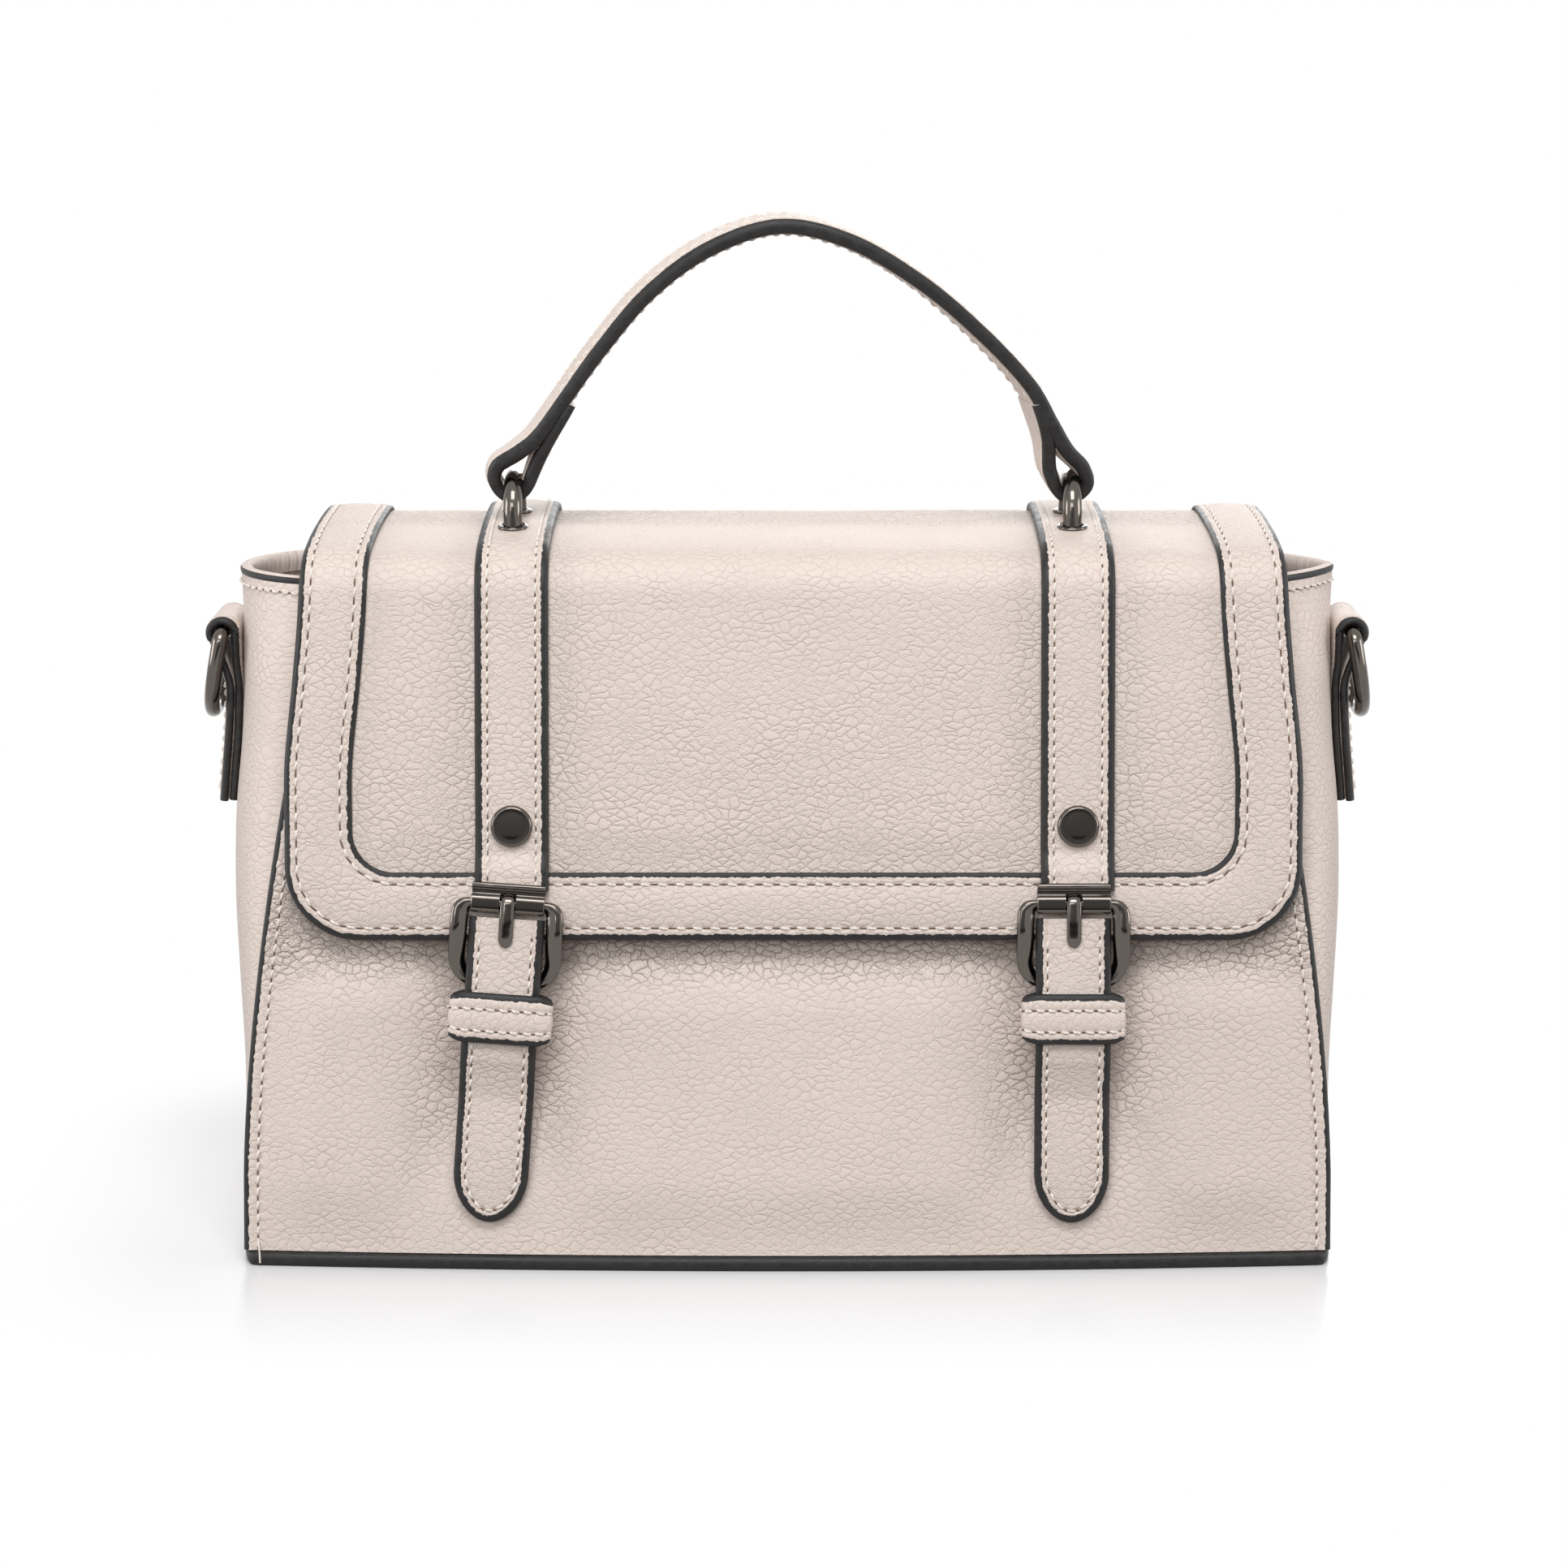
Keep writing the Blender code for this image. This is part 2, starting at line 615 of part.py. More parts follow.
def make_upper_strap(name, surface, centre):
    """The strap sewn over the flap, which steps up over the border strip at its lower end."""
    over_trim = TRIM_THICK + 2.0 * GAP
    stations = [(v, GAP, UPPER_THICK) for v in surface.at[1:-1]]
    stations.append((surface.at_height(STRAP_STEP_START_Z), GAP, UPPER_THICK))
    stations.append((surface.at_height(STRAP_STEP_Z), over_trim, UPPER_END_THICK))
    stations.append((surface.at_height(AXIS_Z) - UPPER_END_SHORT, over_trim, UPPER_END_THICK))
    outer = []
    inner = []
    for v, low, thick in stations:
        edges = (centre - UPPER_HALF_WIDTH, centre + UPPER_HALF_WIDTH)
        outer.append([surface.place(x, v, low + thick) for x in edges])
        inner.append([surface.place(x, v, low) for x in edges])
    return sheet(name, outer, inner, LEATHER)


def slope_frame(origin, twist=0.0):
    """A matrix whose X runs across, Y up the front slope and Z out of it."""
    up = Vector((0.0, BASE_HALF_DEPTH - TOP_HALF_DEPTH, LEAN_HEIGHT)).normalized()
    out = Vector((0.0, -up.z, up.y))
    turn = Matrix((Vector((1.0, 0.0, 0.0)), up, out)).transposed()
    spin = Matrix.Rotation(-twist, 3, "Z")
    return Matrix.Translation(origin) @ (turn @ spin).to_4x4()


def make_rivet(name, surface, centre):
    """A flat cap with a rounded rim on a shank through the strap and the flap's leather."""
    height = surface.at_height(RIVET_Z)
    place = slope_frame(surface.place(centre, height, 0.0))
    seat = UPPER_THICK + 2.0 * GAP
    profile = [(RIVET_SHANK, -FLAP_THICK + GAP), (RIVET_SHANK, seat)]
    profile += [(radius, seat + rise) for radius, rise in RIVET_CAP]
    rivet = turned(name, profile, GUNMETAL, place, RIVET_SIDES)
    start = place @ Vector((0.0, 0.0, -CUT_DEPTH))
    end = place @ Vector((0.0, 0.0, CUT_DEPTH))
    return rivet, cylinder_cutter("cut_" + name, RIVET_HOLE, start, end)


def tube_ring(centre, side_axis, out_axis, half_side, half_out, sides):
    """One ring of a tube with an oval section."""
    ring = []
    for i in range(sides):
        angle = 2.0 * math.pi * (i + 0.5) / sides
        sideways = side_axis * (half_side * math.cos(angle))
        ring.append(centre + sideways + out_axis * (half_out * math.sin(angle)))
    return ring


def make_staple(name, surface, centre):
    """A round wire arch whose two legs go down through the strap and the flap."""
    arch_z = STAPLE_TOP_Z - STAPLE_WIRE - STAPLE_RADIUS
    feet = []
    for sign in (-1.0, 1.0):
        y = STAPLE_Y + sign * STAPLE_RADIUS
        feet.append(Vector((centre, y, surface.over(y, 0.0) - FLAP_THICK + 2.0 * GAP)))
    bend = arc((STAPLE_Y, arch_z), STAPLE_RADIUS, 180.0, -180.0, STAPLE_STEPS)
    path = [feet[1]] + [Vector((centre, y, z)) for y, z in reversed(bend)] + [feet[0]]
    across = Vector((1.0, 0.0, 0.0))
    rings = []
    for i, point in enumerate(path):
        out = direction(path, i).cross(across)
        rings.append(tube_ring(point, across, out, STAPLE_WIRE, STAPLE_WIRE, STAPLE_SIDES))
    staple = skin(name, rings, GUNMETAL)
    depth = Vector((0.0, 0.0, CUT_DEPTH))
    cutters = [cylinder_cutter("cut_" + name, STAPLE_HOLE, foot - depth, foot + depth) for foot in feet]
    return staple, cutters


def make_washer(name, surface, centre, sign):
    """A flat ring round a staple's leg, lying on the strap."""
    y = STAPLE_Y + sign * STAPLE_RADIUS
    base_z = surface.over(y, UPPER_THICK + 2.0 * GAP)
    reach = 0.5 * WASHER_RADIUS
    rise = surface.over(y + reach, 0.0) - surface.over(y - reach, 0.0)
    tilt = Matrix.Rotation(math.atan2(rise, 2.0 * reach), 4, "X")
    place = Matrix.Translation((centre, y, base_z)) @ tilt
    profile = ((STAPLE_HOLE, 0.0), (WASHER_RADIUS, 0.0), (WASHER_RADIUS, WASHER_HEIGHT),
               (STAPLE_HOLE, WASHER_HEIGHT))
    return turned_ring(name, profile, GUNMETAL, place)


def buckle_frame(centre, twist):
    """The local frame of a buckle, with its origin on the hinge axis."""
    slope = slope_frame(Vector((centre, slope_y(AXIS_Z), AXIS_Z)))
    origin = slope @ Vector((0.0, 0.0, AXIS_STAND_OFF))
    return slope_frame(origin, twist)


def make_clamp(name, place):
    """The folded metal clip at the strap's end, with a bore for the buckle's bar."""
    rings = []
    for x in (-CLAMP_HALF_WIDTH, CLAMP_HALF_WIDTH):
        rings.append([place @ Vector((x, t * MM, d * MM)) for t, d in CLAMP_OUTLINE])
    clamp = skin(name, rings, GUNMETAL)
    reach = 2.0 * CLAMP_HALF_WIDTH
    bore = cylinder_cutter("cut_bore_" + name, CLAMP_BORE, place @ Vector((-reach, 0.0, 0.0)),
                           place @ Vector((reach, 0.0, 0.0)), BORE_SIDES)
    deep = CUT_DEPTH
    corners = ((-deep, -deep), (CLAMP_SLOT_TOP, -deep), (CLAMP_SLOT_TOP, deep), (-deep, deep))
    slot_rings = []
    for x in (-CLAMP_SLOT_HALF, CLAMP_SLOT_HALF):
        slot_rings.append([place @ Vector((x, t, d)) for t, d in corners])
    slot = skin("cut_slot_" + name, slot_rings, BOARD)
    cut(clamp, bore)
    cut(clamp, slot)
    return clamp


def frame_path():
    """The buckle frame's centre line as (x, t), clockwise from its top bar."""
    half = FRAME_HALF_WIDTH
    top = FRAME_TOP_CORNER
    low = FRAME_LOW_CORNER
    middle = 0.5 * FRAME_BOTTOM_T
    path = []
    for sign_x, sign_t, corner, start in ((1.0, 1.0, top, 90.0), (1.0, -1.0, low, 0.0),
                                          (-1.0, -1.0, low, -90.0), (-1.0, 1.0, top, -180.0)):
        centre_x = sign_x * (half - corner)
        centre_t = -corner if sign_t > 0.0 else FRAME_BOTTOM_T + corner
        path += arc((centre_x, centre_t), corner, start, -90.0, QUARTER_STEPS)
        if sign_x == sign_t:
            path.append((sign_x * half, middle))
    return [Vector((x, t, 0.0)) for x, t in path]


def make_buckle_ring(name, place):
    """The buckle's frame: a bowed ring with a round top bar and broad sides."""
    path = frame_path()
    out = Vector((0.0, 0.0, 1.0))
    rings = []
    for i, point in enumerate(path):
        side_axis = direction(path, i, closed=True).cross(out)
        corner = FRAME_TOP_CORNER if point.y > 0.5 * FRAME_BOTTOM_T else FRAME_LOW_CORNER
        broad = min(max((abs(point.x) - (FRAME_HALF_WIDTH - corner)) / corner, 0.0), 1.0)
        half_side = FRAME_BAR + (FRAME_SIDE_BAR - FRAME_BAR) * broad
        centre = Vector((point.x, point.y, read_table(FRAME_BOW, point.y)))
        ring = tube_ring(centre, side_axis, out, half_side, FRAME_HALF_THICK, FRAME_SIDES)
        rings.append([place @ corner_point for corner_point in ring])
    return skin(name, rings, GUNMETAL, closed_path=True)


def make_prong(name, place):
    """The buckle's tongue, hooked over the bar and lying on the strap."""
    hook = arc((0.0, 0.0), PRONG_HOOK, PRONG_HOOK_START, PRONG_HOOK_TURN, PRONG_HOOK_STEPS)
    path = [Vector((0.0, t, d)) for t, d in hook]
    path += [Vector((0.0, t * MM, d * MM)) for t, d in PRONG_LINE]
    across = Vector((1.0, 0.0, 0.0))
    rings = []
    for i, point in enumerate(path):
        half = PRONG_HALF_WIDTH * (PRONG_TIP if i == len(path) - 1 else 1.0)
        out = direction(path, i).cross(across)
        ring = tube_ring(point, across, out, half, PRONG_HALF_THICK, PRONG_SIDES)
        rings.append([place @ corner for corner in ring])
    return skin(name, rings, GUNMETAL)


def point_half_width(t):
    """Half the lower strap's width, drawn in to the point at its end."""
    if t > POINT_START_T:
        return LOWER_HALF_WIDTH
    share = min((POINT_START_T - t) / (POINT_START_T - POINT_END_T), POINT_BLUNT)
    return LOWER_HALF_WIDTH * (1.0 - share ** POINT_ROUND) ** (1.0 / POINT_ROUND)


def make_lower_strap(name, place):
    """The pointed strap that passes through the buckle and hangs on the front."""
    line = [Vector((0.0, t * MM, d * MM)) for t, d in LOWER_LINE]
    outer = []
    inner = []
    for i, point in enumerate(line):
        along = direction(line, i)
        normal = Vector((0.0, along.z, -along.y)) * (0.5 * LOWER_THICK)
        half = point_half_width(point.y)
        edges = [point + Vector((x, 0.0, 0.0)) for x in (-half, half)]
        outer.append([place @ (edge + normal) for edge in edges])
        inner.append([place @ (edge - normal) for edge in edges])
    return sheet(name, outer, inner, LEATHER)


def keeper_outline(size):
    """A rectangle with cut corners in the keeper's cross-section."""
    half, low, high, corner = size
    return ((half, low + corner), (half, high - corner), (half - corner, high), (corner - half, high),
            (-half, high - corner), (-half, low + corner), (corner - half, low), (half - corner, low))


def make_keeper(name, place):
    """The loop that holds the strap below the buckle."""
    rings = []
    for size, t in ((KEEPER_OUTER, KEEPER_TOP_T), (KEEPER_OUTER, KEEPER_BOTTOM_T),
                    (KEEPER_INNER, KEEPER_BOTTOM_T), (KEEPER_INNER, KEEPER_TOP_T)):
        rings.append([place @ Vector((x, t, d)) for x, d in keeper_outline(size)])
    return skin(name, rings, LEATHER, closed_path=True)


def snap_places(place):
    """Where a magnetic snap's two halves sit: on the strap's back and in the front panel."""
    strap_back = read_table([(t * MM, d * MM) for t, d in reversed(LOWER_LINE)], SNAP_T)
    back = place @ Matrix.Translation((0.0, SNAP_T, strap_back - 0.5 * LOWER_THICK - GAP))
    point = back.translation
    face = Vector((point.x, front_y(point.x, point.z), point.z))
    return back, face


def make_snap_stud(name, place, reach):
    """The moving half of a snap: a disc on the strap's back, with a stud that enters the socket."""
    flip = place @ Matrix.Rotation(math.pi, 4, "X")
    profile = ((SNAP_RADIUS, 0.0), (SNAP_RADIUS, STUD_DISC), (STUD_RADIUS, STUD_DISC),
               (STUD_RADIUS, reach + STUD_DEPTH))
    return turned(name, profile, GUNMETAL, flip)


def make_snap_socket(name, place):
    """The fixed half of a snap, let into the front panel."""
    profile = ((SNAP_RADIUS, SOCKET_PROUD - SOCKET_THICK), (SNAP_RADIUS, SOCKET_PROUD),
               (SOCKET_HOLE, SOCKET_PROUD), (SOCKET_HOLE, SOCKET_PROUD - SOCKET_DEPTH))
    return turned(name, profile, GUNMETAL, place)


def make_closure(side, centre, twist, flap_joint, front):
    """One buckle with its clamp, prong, pointed strap, keeper and snap."""
    place = buckle_frame(centre, twist)
    axis = place.translation
    clamp = make_clamp(side + "_clamp", place)
    carry(clamp, flap_joint)
    strap_joint = make_joint(side + "_strap_axis", axis, flap_joint)
    pieces = [make_buckle_ring(side + "_buckle_frame", place), make_lower_strap(side + "_lower_strap", place),
              make_keeper(side + "_keeper", place)]
    back, face = snap_places(place)
    socket_place = slope_frame(face, twist)
    reach = (back.translation - face).dot(socket_place.to_3x3() @ Vector((0.0, 0.0, 1.0)))
    pieces.append(make_snap_stud(side + "_snap_stud", back, reach - SOCKET_PROUD))
    for piece in pieces:
        set_origin(piece, axis)
        carry(piece, strap_joint)
    prong = make_prong(side + "_prong", place)
    set_origin(prong, axis)
    carry(prong, strap_joint)
    make_snap_socket(side + "_snap_socket", socket_place)
    cut(front, cylinder_cutter("cut_" + side + "_socket", SNAP_RADIUS + GAP,
                               socket_place @ Vector((0.0, 0.0, -CUT_DEPTH)),
                               socket_place @ Vector((0.0, 0.0, CUT_DEPTH)), BORE_SIDES))


def make_handle(flap_joint):
    """The flat leather handle: an arch whose ends loop under the staples and fold back inside."""
    axis = Vector((0.0, STAPLE_Y, STAPLE_TOP_Z - STAPLE_WIRE - STAPLE_RADIUS))
    table = [Vector(row) * MM for row in HANDLE_LEFT_LOOP + HANDLE_ARCH + HANDLE_RIGHT_LOOP]
    line = smooth_line(table, HANDLE_STEPS)
    faces = [Vector((x, STAPLE_Y, z)) for x, z, thick in line]
    lean = Matrix.Translation(axis) @ Matrix.Rotation(HANDLE_LEAN, 4, "X") @ Matrix.Translation(-axis)
    rings = []
    for i, face in enumerate(faces):
        along = direction(faces, i)
        inward = Vector((along.z, 0.0, -along.x)) * line[i].z
        grow = min(max((face.z - HANDLE_END_Z) / (HANDLE_WIDE_Z - HANDLE_END_Z), 0.0), 1.0)
        width = HANDLE_END_WIDTH + (HANDLE_WIDTH - HANDLE_END_WIDTH) * grow
        cup = 1.0 - min(max((face.z - CUP_LOW_Z) / (CUP_HIGH_Z - CUP_LOW_Z), 0.0), 1.0)
        outer = []
        inner = []
        for k in range(HANDLE_COLUMNS + 1):
            y = width * (k / HANDLE_COLUMNS - 0.5)
            drop = cup * (CUP_RADIUS - math.sqrt(CUP_RADIUS ** 2 - min(abs(y), CUP_REACH) ** 2))
            shift = Vector((0.0, y, -drop))
            outer.append(lean @ (face + shift))
            inner.append(lean @ (face + inward + shift))
        rings.append(outer + list(reversed(inner)))
    handle = skin("handle", rings, LEATHER)
    set_origin(handle, axis)
    joint = make_joint("handle_axis", axis, flap_joint)
    carry(handle, joint)


def make_tab(name, sign):
    """The folded strap sewn to a gusset, with a loop at its top for the D-ring."""
    axis_x, axis_z = TAB_AXIS
    inner = [(read_table(GUSSET_SIDE, z) + TAB_STAND_OFF, z) for z in TAB_LEVELS]
    outer = [(x + TAB_THICK, z) for x, z in reversed(inner)]
    outline = inner + arc(TAB_AXIS, TAB_LOOP, 180.0, TAB_LOOP_TURN, TAB_LOOP_STEPS) + outer
    rings = []
    for y in (-TAB_HALF_WIDTH, TAB_HALF_WIDTH):
        rings.append([Vector((sign * x, y, z)) for x, z in outline])
    tab = skin(name, rings, LEATHER)
    start = Vector((sign * axis_x, -2.0 * TAB_HALF_WIDTH, axis_z))
    end = Vector((sign * axis_x, 2.0 * TAB_HALF_WIDTH, axis_z))
    cut(tab, cylinder_cutter("cut_" + name, TAB_HOLE, start, end))
    return tab


def ring_path():
    """The D-ring's centre line in the YZ plane, measured from its bar."""
    corner_y = RING_HALF_WIDTH - RING_CORNER
    path = arc((corner_y, -RING_CORNER), RING_CORNER, 90.0, -90.0, RING_CORNER_STEPS)
    path += arc((0.0, -RING_SIDE), RING_HALF_WIDTH, 0.0, -180.0, RING_BOW_STEPS)
    path += arc((-corner_y, -RING_CORNER), RING_CORNER, 180.0, -90.0, RING_CORNER_STEPS)
    return [Vector((0.0, y, z)) for y, z in path]


def make_d_ring(name, sign):
    """A wire ring with a straight bar in the tab's loop, hanging against the tab."""
    axis_x, axis_z = TAB_AXIS
    axis = Vector((sign * axis_x, 0.0, axis_z))
    lean = Matrix.Translation(axis) @ Matrix.Rotation(-sign * RING_LEAN, 4, "Y")
    path = ring_path()
    out = Vector((1.0, 0.0, 0.0))
    rings = []
    for i, point in enumerate(path):
        side_axis = direction(path, i, closed=True).cross(out)
        ring = tube_ring(point, out, side_axis, RING_WIRE, RING_WIRE, RING_SIDES)
        rings.append([lean @ corner for corner in ring])
    ring = skin(name, rings, GUNMETAL, closed_path=True)
    set_origin(ring, axis)
    return ring, axis


def main():
    """Build the whole bag."""
    clear_scene()
    front = make_body()
    surface = FlapSurface()
    flap_joint = make_joint("flap_axis", (0.0, HINGE[0], HINGE[1]))
    panel, lining, trim = make_flap(surface)
    for piece in (panel, lining, trim):
        carry(piece, flap_joint)
    for k, side, sign, twist in ((0, "left", -1.0, LEFT_TWIST), (1, "right", 1.0, 0.0)):
        strap = make_upper_strap(side + "_upper_strap", surface, STRAP_X[k])
        rivet, rivet_cutter = make_rivet(side + "_rivet", surface, STRAP_X[k])
        staple, staple_cutters = make_staple(side + "_staple", surface, STAPLE_X[k])
        for cutter in [rivet_cutter] + staple_cutters:
            cut(strap, cutter)
            cut(panel, cutter)
        washers = [make_washer(side + "_front_washer", surface, STAPLE_X[k], -1.0),
                   make_washer(side + "_rear_washer", surface, STAPLE_X[k], 1.0)]
        for piece in [strap, rivet, staple] + washers:
            carry(piece, flap_joint)
        make_closure(side, BUCKLE_X[k], twist, flap_joint, front)
        make_tab(side + "_tab", sign)
        ring, axis = make_d_ring(side + "_d_ring", sign)
        carry(ring, make_joint(side + "_ring_axis", axis))
    make_handle(flap_joint)


main()
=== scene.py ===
"""Looks of a small structured crossbody bag, dressed around its packed construction model.

Leather shells with painted edges and sewn thread, a suede lining and gunmetal fittings,
all in metres in the model's own frame: the front faces -Y, +X is right and +Z is up.
"""

import math
import random

import bmesh
import bpy
from mathutils import Matrix, Vector, noise


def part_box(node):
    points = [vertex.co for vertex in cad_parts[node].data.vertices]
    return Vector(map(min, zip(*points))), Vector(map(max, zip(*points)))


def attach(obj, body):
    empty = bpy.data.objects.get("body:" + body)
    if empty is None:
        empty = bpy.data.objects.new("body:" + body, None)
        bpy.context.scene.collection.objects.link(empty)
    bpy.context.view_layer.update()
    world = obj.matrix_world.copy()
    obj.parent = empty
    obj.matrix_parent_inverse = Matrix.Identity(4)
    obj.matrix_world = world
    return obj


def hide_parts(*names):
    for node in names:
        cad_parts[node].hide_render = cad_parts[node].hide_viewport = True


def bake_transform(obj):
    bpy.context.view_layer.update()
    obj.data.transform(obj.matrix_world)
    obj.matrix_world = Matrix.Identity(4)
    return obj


bl_info = {
    "name": "Buckled Crossbody Bag",
    "version": (1, 0, 0),
    "blender": (4, 5, 0),
    "location": "3D View > Sidebar > Bag",
    "description": "Leather shells, painted edges, stitching and gunmetal fittings for a small bag",
    "category": "Object",
}

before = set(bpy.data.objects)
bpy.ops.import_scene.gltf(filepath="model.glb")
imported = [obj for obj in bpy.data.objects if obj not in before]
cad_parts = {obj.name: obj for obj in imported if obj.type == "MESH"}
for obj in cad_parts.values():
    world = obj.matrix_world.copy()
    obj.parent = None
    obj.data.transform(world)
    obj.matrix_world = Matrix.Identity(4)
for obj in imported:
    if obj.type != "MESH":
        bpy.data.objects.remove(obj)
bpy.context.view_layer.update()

MM = 0.001
SIDES = (("left", -1.0), ("right", 1.0))

# Body shell, as the construction has it
BASE_HALF_DEPTH = 0.054
TOP_HALF_DEPTH = 0.027
LEAN_HEIGHT = 0.168
LEAN_OUT = Vector((0.0, -0.98733, 0.15868))
BASE_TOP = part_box("base_panel")[1].z
PANEL_LOW = BASE_TOP + 0.0003
FRONT_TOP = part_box("front_panel")[1].z
BACK_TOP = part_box("back_panel")[1].z
RIM_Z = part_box("left_gusset")[1].z
PANEL_HALF_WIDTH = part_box("front_panel")[1].x
PANEL_TOP_TAPER = 0.0206
TAPER_START = 0.020
TAPER_END = 0.1635
TAPER_POWER = 1.62
PANEL_THICK = 0.0024
SEAM_INSET = 0.003
BELLY_TOP = 0.078
FRONT_BELLY = 0.0045
BACK_BELLY = 0.0020
GUSSET_THICK = 0.0018
GUSSET_SIDE = ((0.0, 0.1340), (0.022, 0.1345), (0.045, 0.1352), (0.065, 0.1367), (0.085, 0.1378),
               (0.105, 0.1374), (0.125, 0.1355), (0.145, 0.1349), (0.1635, 0.1355))
GUSSET_ROUND = 2.5
# How far the plan of the left and the right gusset is pinched at the mouth
GUSSET_PINCH = {-1.0: 0.65, 1.0: 1.10}
PINCH_START = 0.138
BASE_PROUD = 0.0008

# Flap, in the YZ plane from its rear edge to its front slope
FLAP_CENTRE = 0.0015
FLAP_LINE = ((0.0302, 0.1690), (0.0290, 0.1722), (0.0258, 0.1738), (0.0210, 0.1742),
             (0.0100, 0.1741), (0.0000, 0.1736), (-0.0100, 0.1727), (-0.0185, 0.1714),
             (-0.0242, 0.1701), (-0.0285, 0.1676), (-0.0309, 0.1640))
FLAP_STAND_OFF = 0.0035
SLOPE_TOP = 0.158
FLAP_BOTTOM = 0.0792
FLAP_THICK = 0.0018
FLAP_HALF_WIDTHS = ((0.0, 0.1182), (0.050, 0.1188), (0.072, 0.1195), (0.090, 0.1210), (0.110, 0.1230),
                    (0.125, 0.1231), (0.152, 0.1230))
FLAP_REAR_HALF = FLAP_HALF_WIDTHS[0][1]
FLAP_CORNER = 0.018
TRIM_WIDTH = 0.0166
TRIM_THICK = 0.0012
TRIM_CORNER = 0.010
TRIM_START = 0.0035
LAYER_GAP = 0.0003
BAND_LINE = ((0.0324, 0.1482), (0.0313, 0.1550), (0.0303, 0.1610), (0.0302, 0.1655))

# Straps, staples, buckles, keepers, tabs and rings
STRAP_X = {"left": -0.0664, "right": 0.0700}
STAPLE_X = {"left": -0.0672, "right": 0.0698}
BUCKLE_X = {"left": -0.0672, "right": 0.0689}
UPPER_HALF = 0.0089
UPPER_THICK = 0.0024
STEP_LOW_Z = 0.0955
STEP_HIGH_Z = 0.1010
RIVET_Z = 0.1068
STAPLE_Y = -0.004
STAPLE_RADIUS = 0.00825
STAPLE_WIRE = 0.0023
STAPLE_TOP = 0.1885
AXIS_Z = 0.0881
AXIS_STAND_OFF = 0.0046
LEFT_TWIST = math.radians(4.0)
CLAMP_HALF = 0.0088
LOWER_HALF = 0.0091
LOWER_THICK = 0.0020
LOWER_LINE = ((-3.2, -0.3), (-9.0, -0.1), (-18.0, 0.15), (-25.0, 0.2), (-35.5, 0.05), (-40.0, -1.2),
              (-45.0, -2.6), (-48.5, -3.1), (-60.0, -3.1), (-66.0, -3.2), (-70.0, -3.35), (-74.0, -3.5),
              (-76.6, -3.6), (-77.6, -3.65))
POINT_START = 0.0623
POINT_END = 0.0744
POINT_ROUND = 1.9
KEEPER_TOP = -0.0212
KEEPER_BOTTOM = -0.0334
TAB_HALF = 0.0119
TAB_BOTTOM = 0.1066
TAB_AXIS = (0.1394, 0.1487)
RING_WIRE = 0.0019
RING_HALF = 0.0141
RING_SIDE = 0.0072
RING_CORNER = 0.0025
RING_LEAN = math.radians(10.5)

# Handle: its outer face in the XZ plane, seen from the front, as (x, z, thickness) in millimetres
HANDLE_LEAN = math.radians(5.0)
HANDLE_WIDTH = 0.0120
HANDLE_END_WIDTH = 0.0070
HANDLE_LINE = ((-51.7, 205.2, 2.4), (-56.6, 196.4, 3.2), (-60.2, 188.8, 3.4), (-63.2, 183.6, 3.0),
               (-67.2, 181.1, 2.7), (-71.4, 183.1, 3.0), (-73.5, 187.2, 3.3), (-71.8, 191.6, 3.6),
               (-67.3, 194.7, 3.7), (-62.6, 198.6, 3.6), (-56.4, 207.0, 3.4),
               (-46.6, 220.6, 3.5), (-34.6, 234.6, 3.6), (-19.7, 245.5, 3.7), (-2.0, 251.1, 3.7),
               (15.8, 247.3, 3.7), (33.5, 236.9, 3.6), (48.6, 224.0, 3.5),
               (60.2, 211.5, 3.4), (66.0, 201.6, 3.6), (70.0, 195.3, 3.7), (74.3, 190.7, 3.5),
               (75.6, 186.0, 3.3), (73.0, 182.4, 3.0), (69.3, 181.1, 2.7), (65.6, 183.2, 3.0),
               (63.3, 188.0, 3.4), (62.3, 196.4, 3.1), (59.4, 205.6, 2.4))


def colour_setting(name, description, value):
    """A colour that a user may change."""
    return bpy.props.FloatVectorProperty(name=name, description=description, subtype="COLOR", size=3,
                                         min=0.0, max=1.0, default=value)


def length_setting(name, description, value, low, high, digits=4):
    """A length in metres that a user may change."""
    return bpy.props.FloatProperty(name=name, description=description, default=value, min=low,
                                   max=high, subtype="DISTANCE", unit="LENGTH", precision=digits)


def power_setting(name, description, value):
    """A lamp's power in watts, which a user may change."""
    return bpy.props.FloatProperty(name=name, description=description, default=value, min=0.0,
                                   max=100.0, unit="POWER")


class BagColours(bpy.types.PropertyGroup):
    """Colours of the bag's finishes."""

    leather: colour_setting("Leather", "Grained leather of the shells and straps", (0.720, 0.628, 0.572))
    # Painted shade: the colour that the leather is darkened to in its grain's creases
    painted_crease_shade: colour_setting("Leather creases", "Leather down in its creases", (0.37, 0.28, 0.22))
    ink: colour_setting("Edge paint", "Black paint on the cut edges", (0.015, 0.014, 0.014))
    thread: colour_setting("Thread", "Shiny sewing thread", (0.94, 0.88, 0.81))
    # Painted shadow: the dark colour of the lens laid in each needle hole between stitches
    needle_hole: colour_setting("Needle holes", "Dark holes between stitches", (0.100, 0.060, 0.042))
    lining: colour_setting("Lining", "Suede cloth inside", (0.620, 0.490, 0.410))
    board: colour_setting("Board", "Fibre board under the lining", (0.250, 0.200, 0.150))
    gunmetal: colour_setting("Gunmetal", "Plating of the fittings", (0.540, 0.500, 0.470))


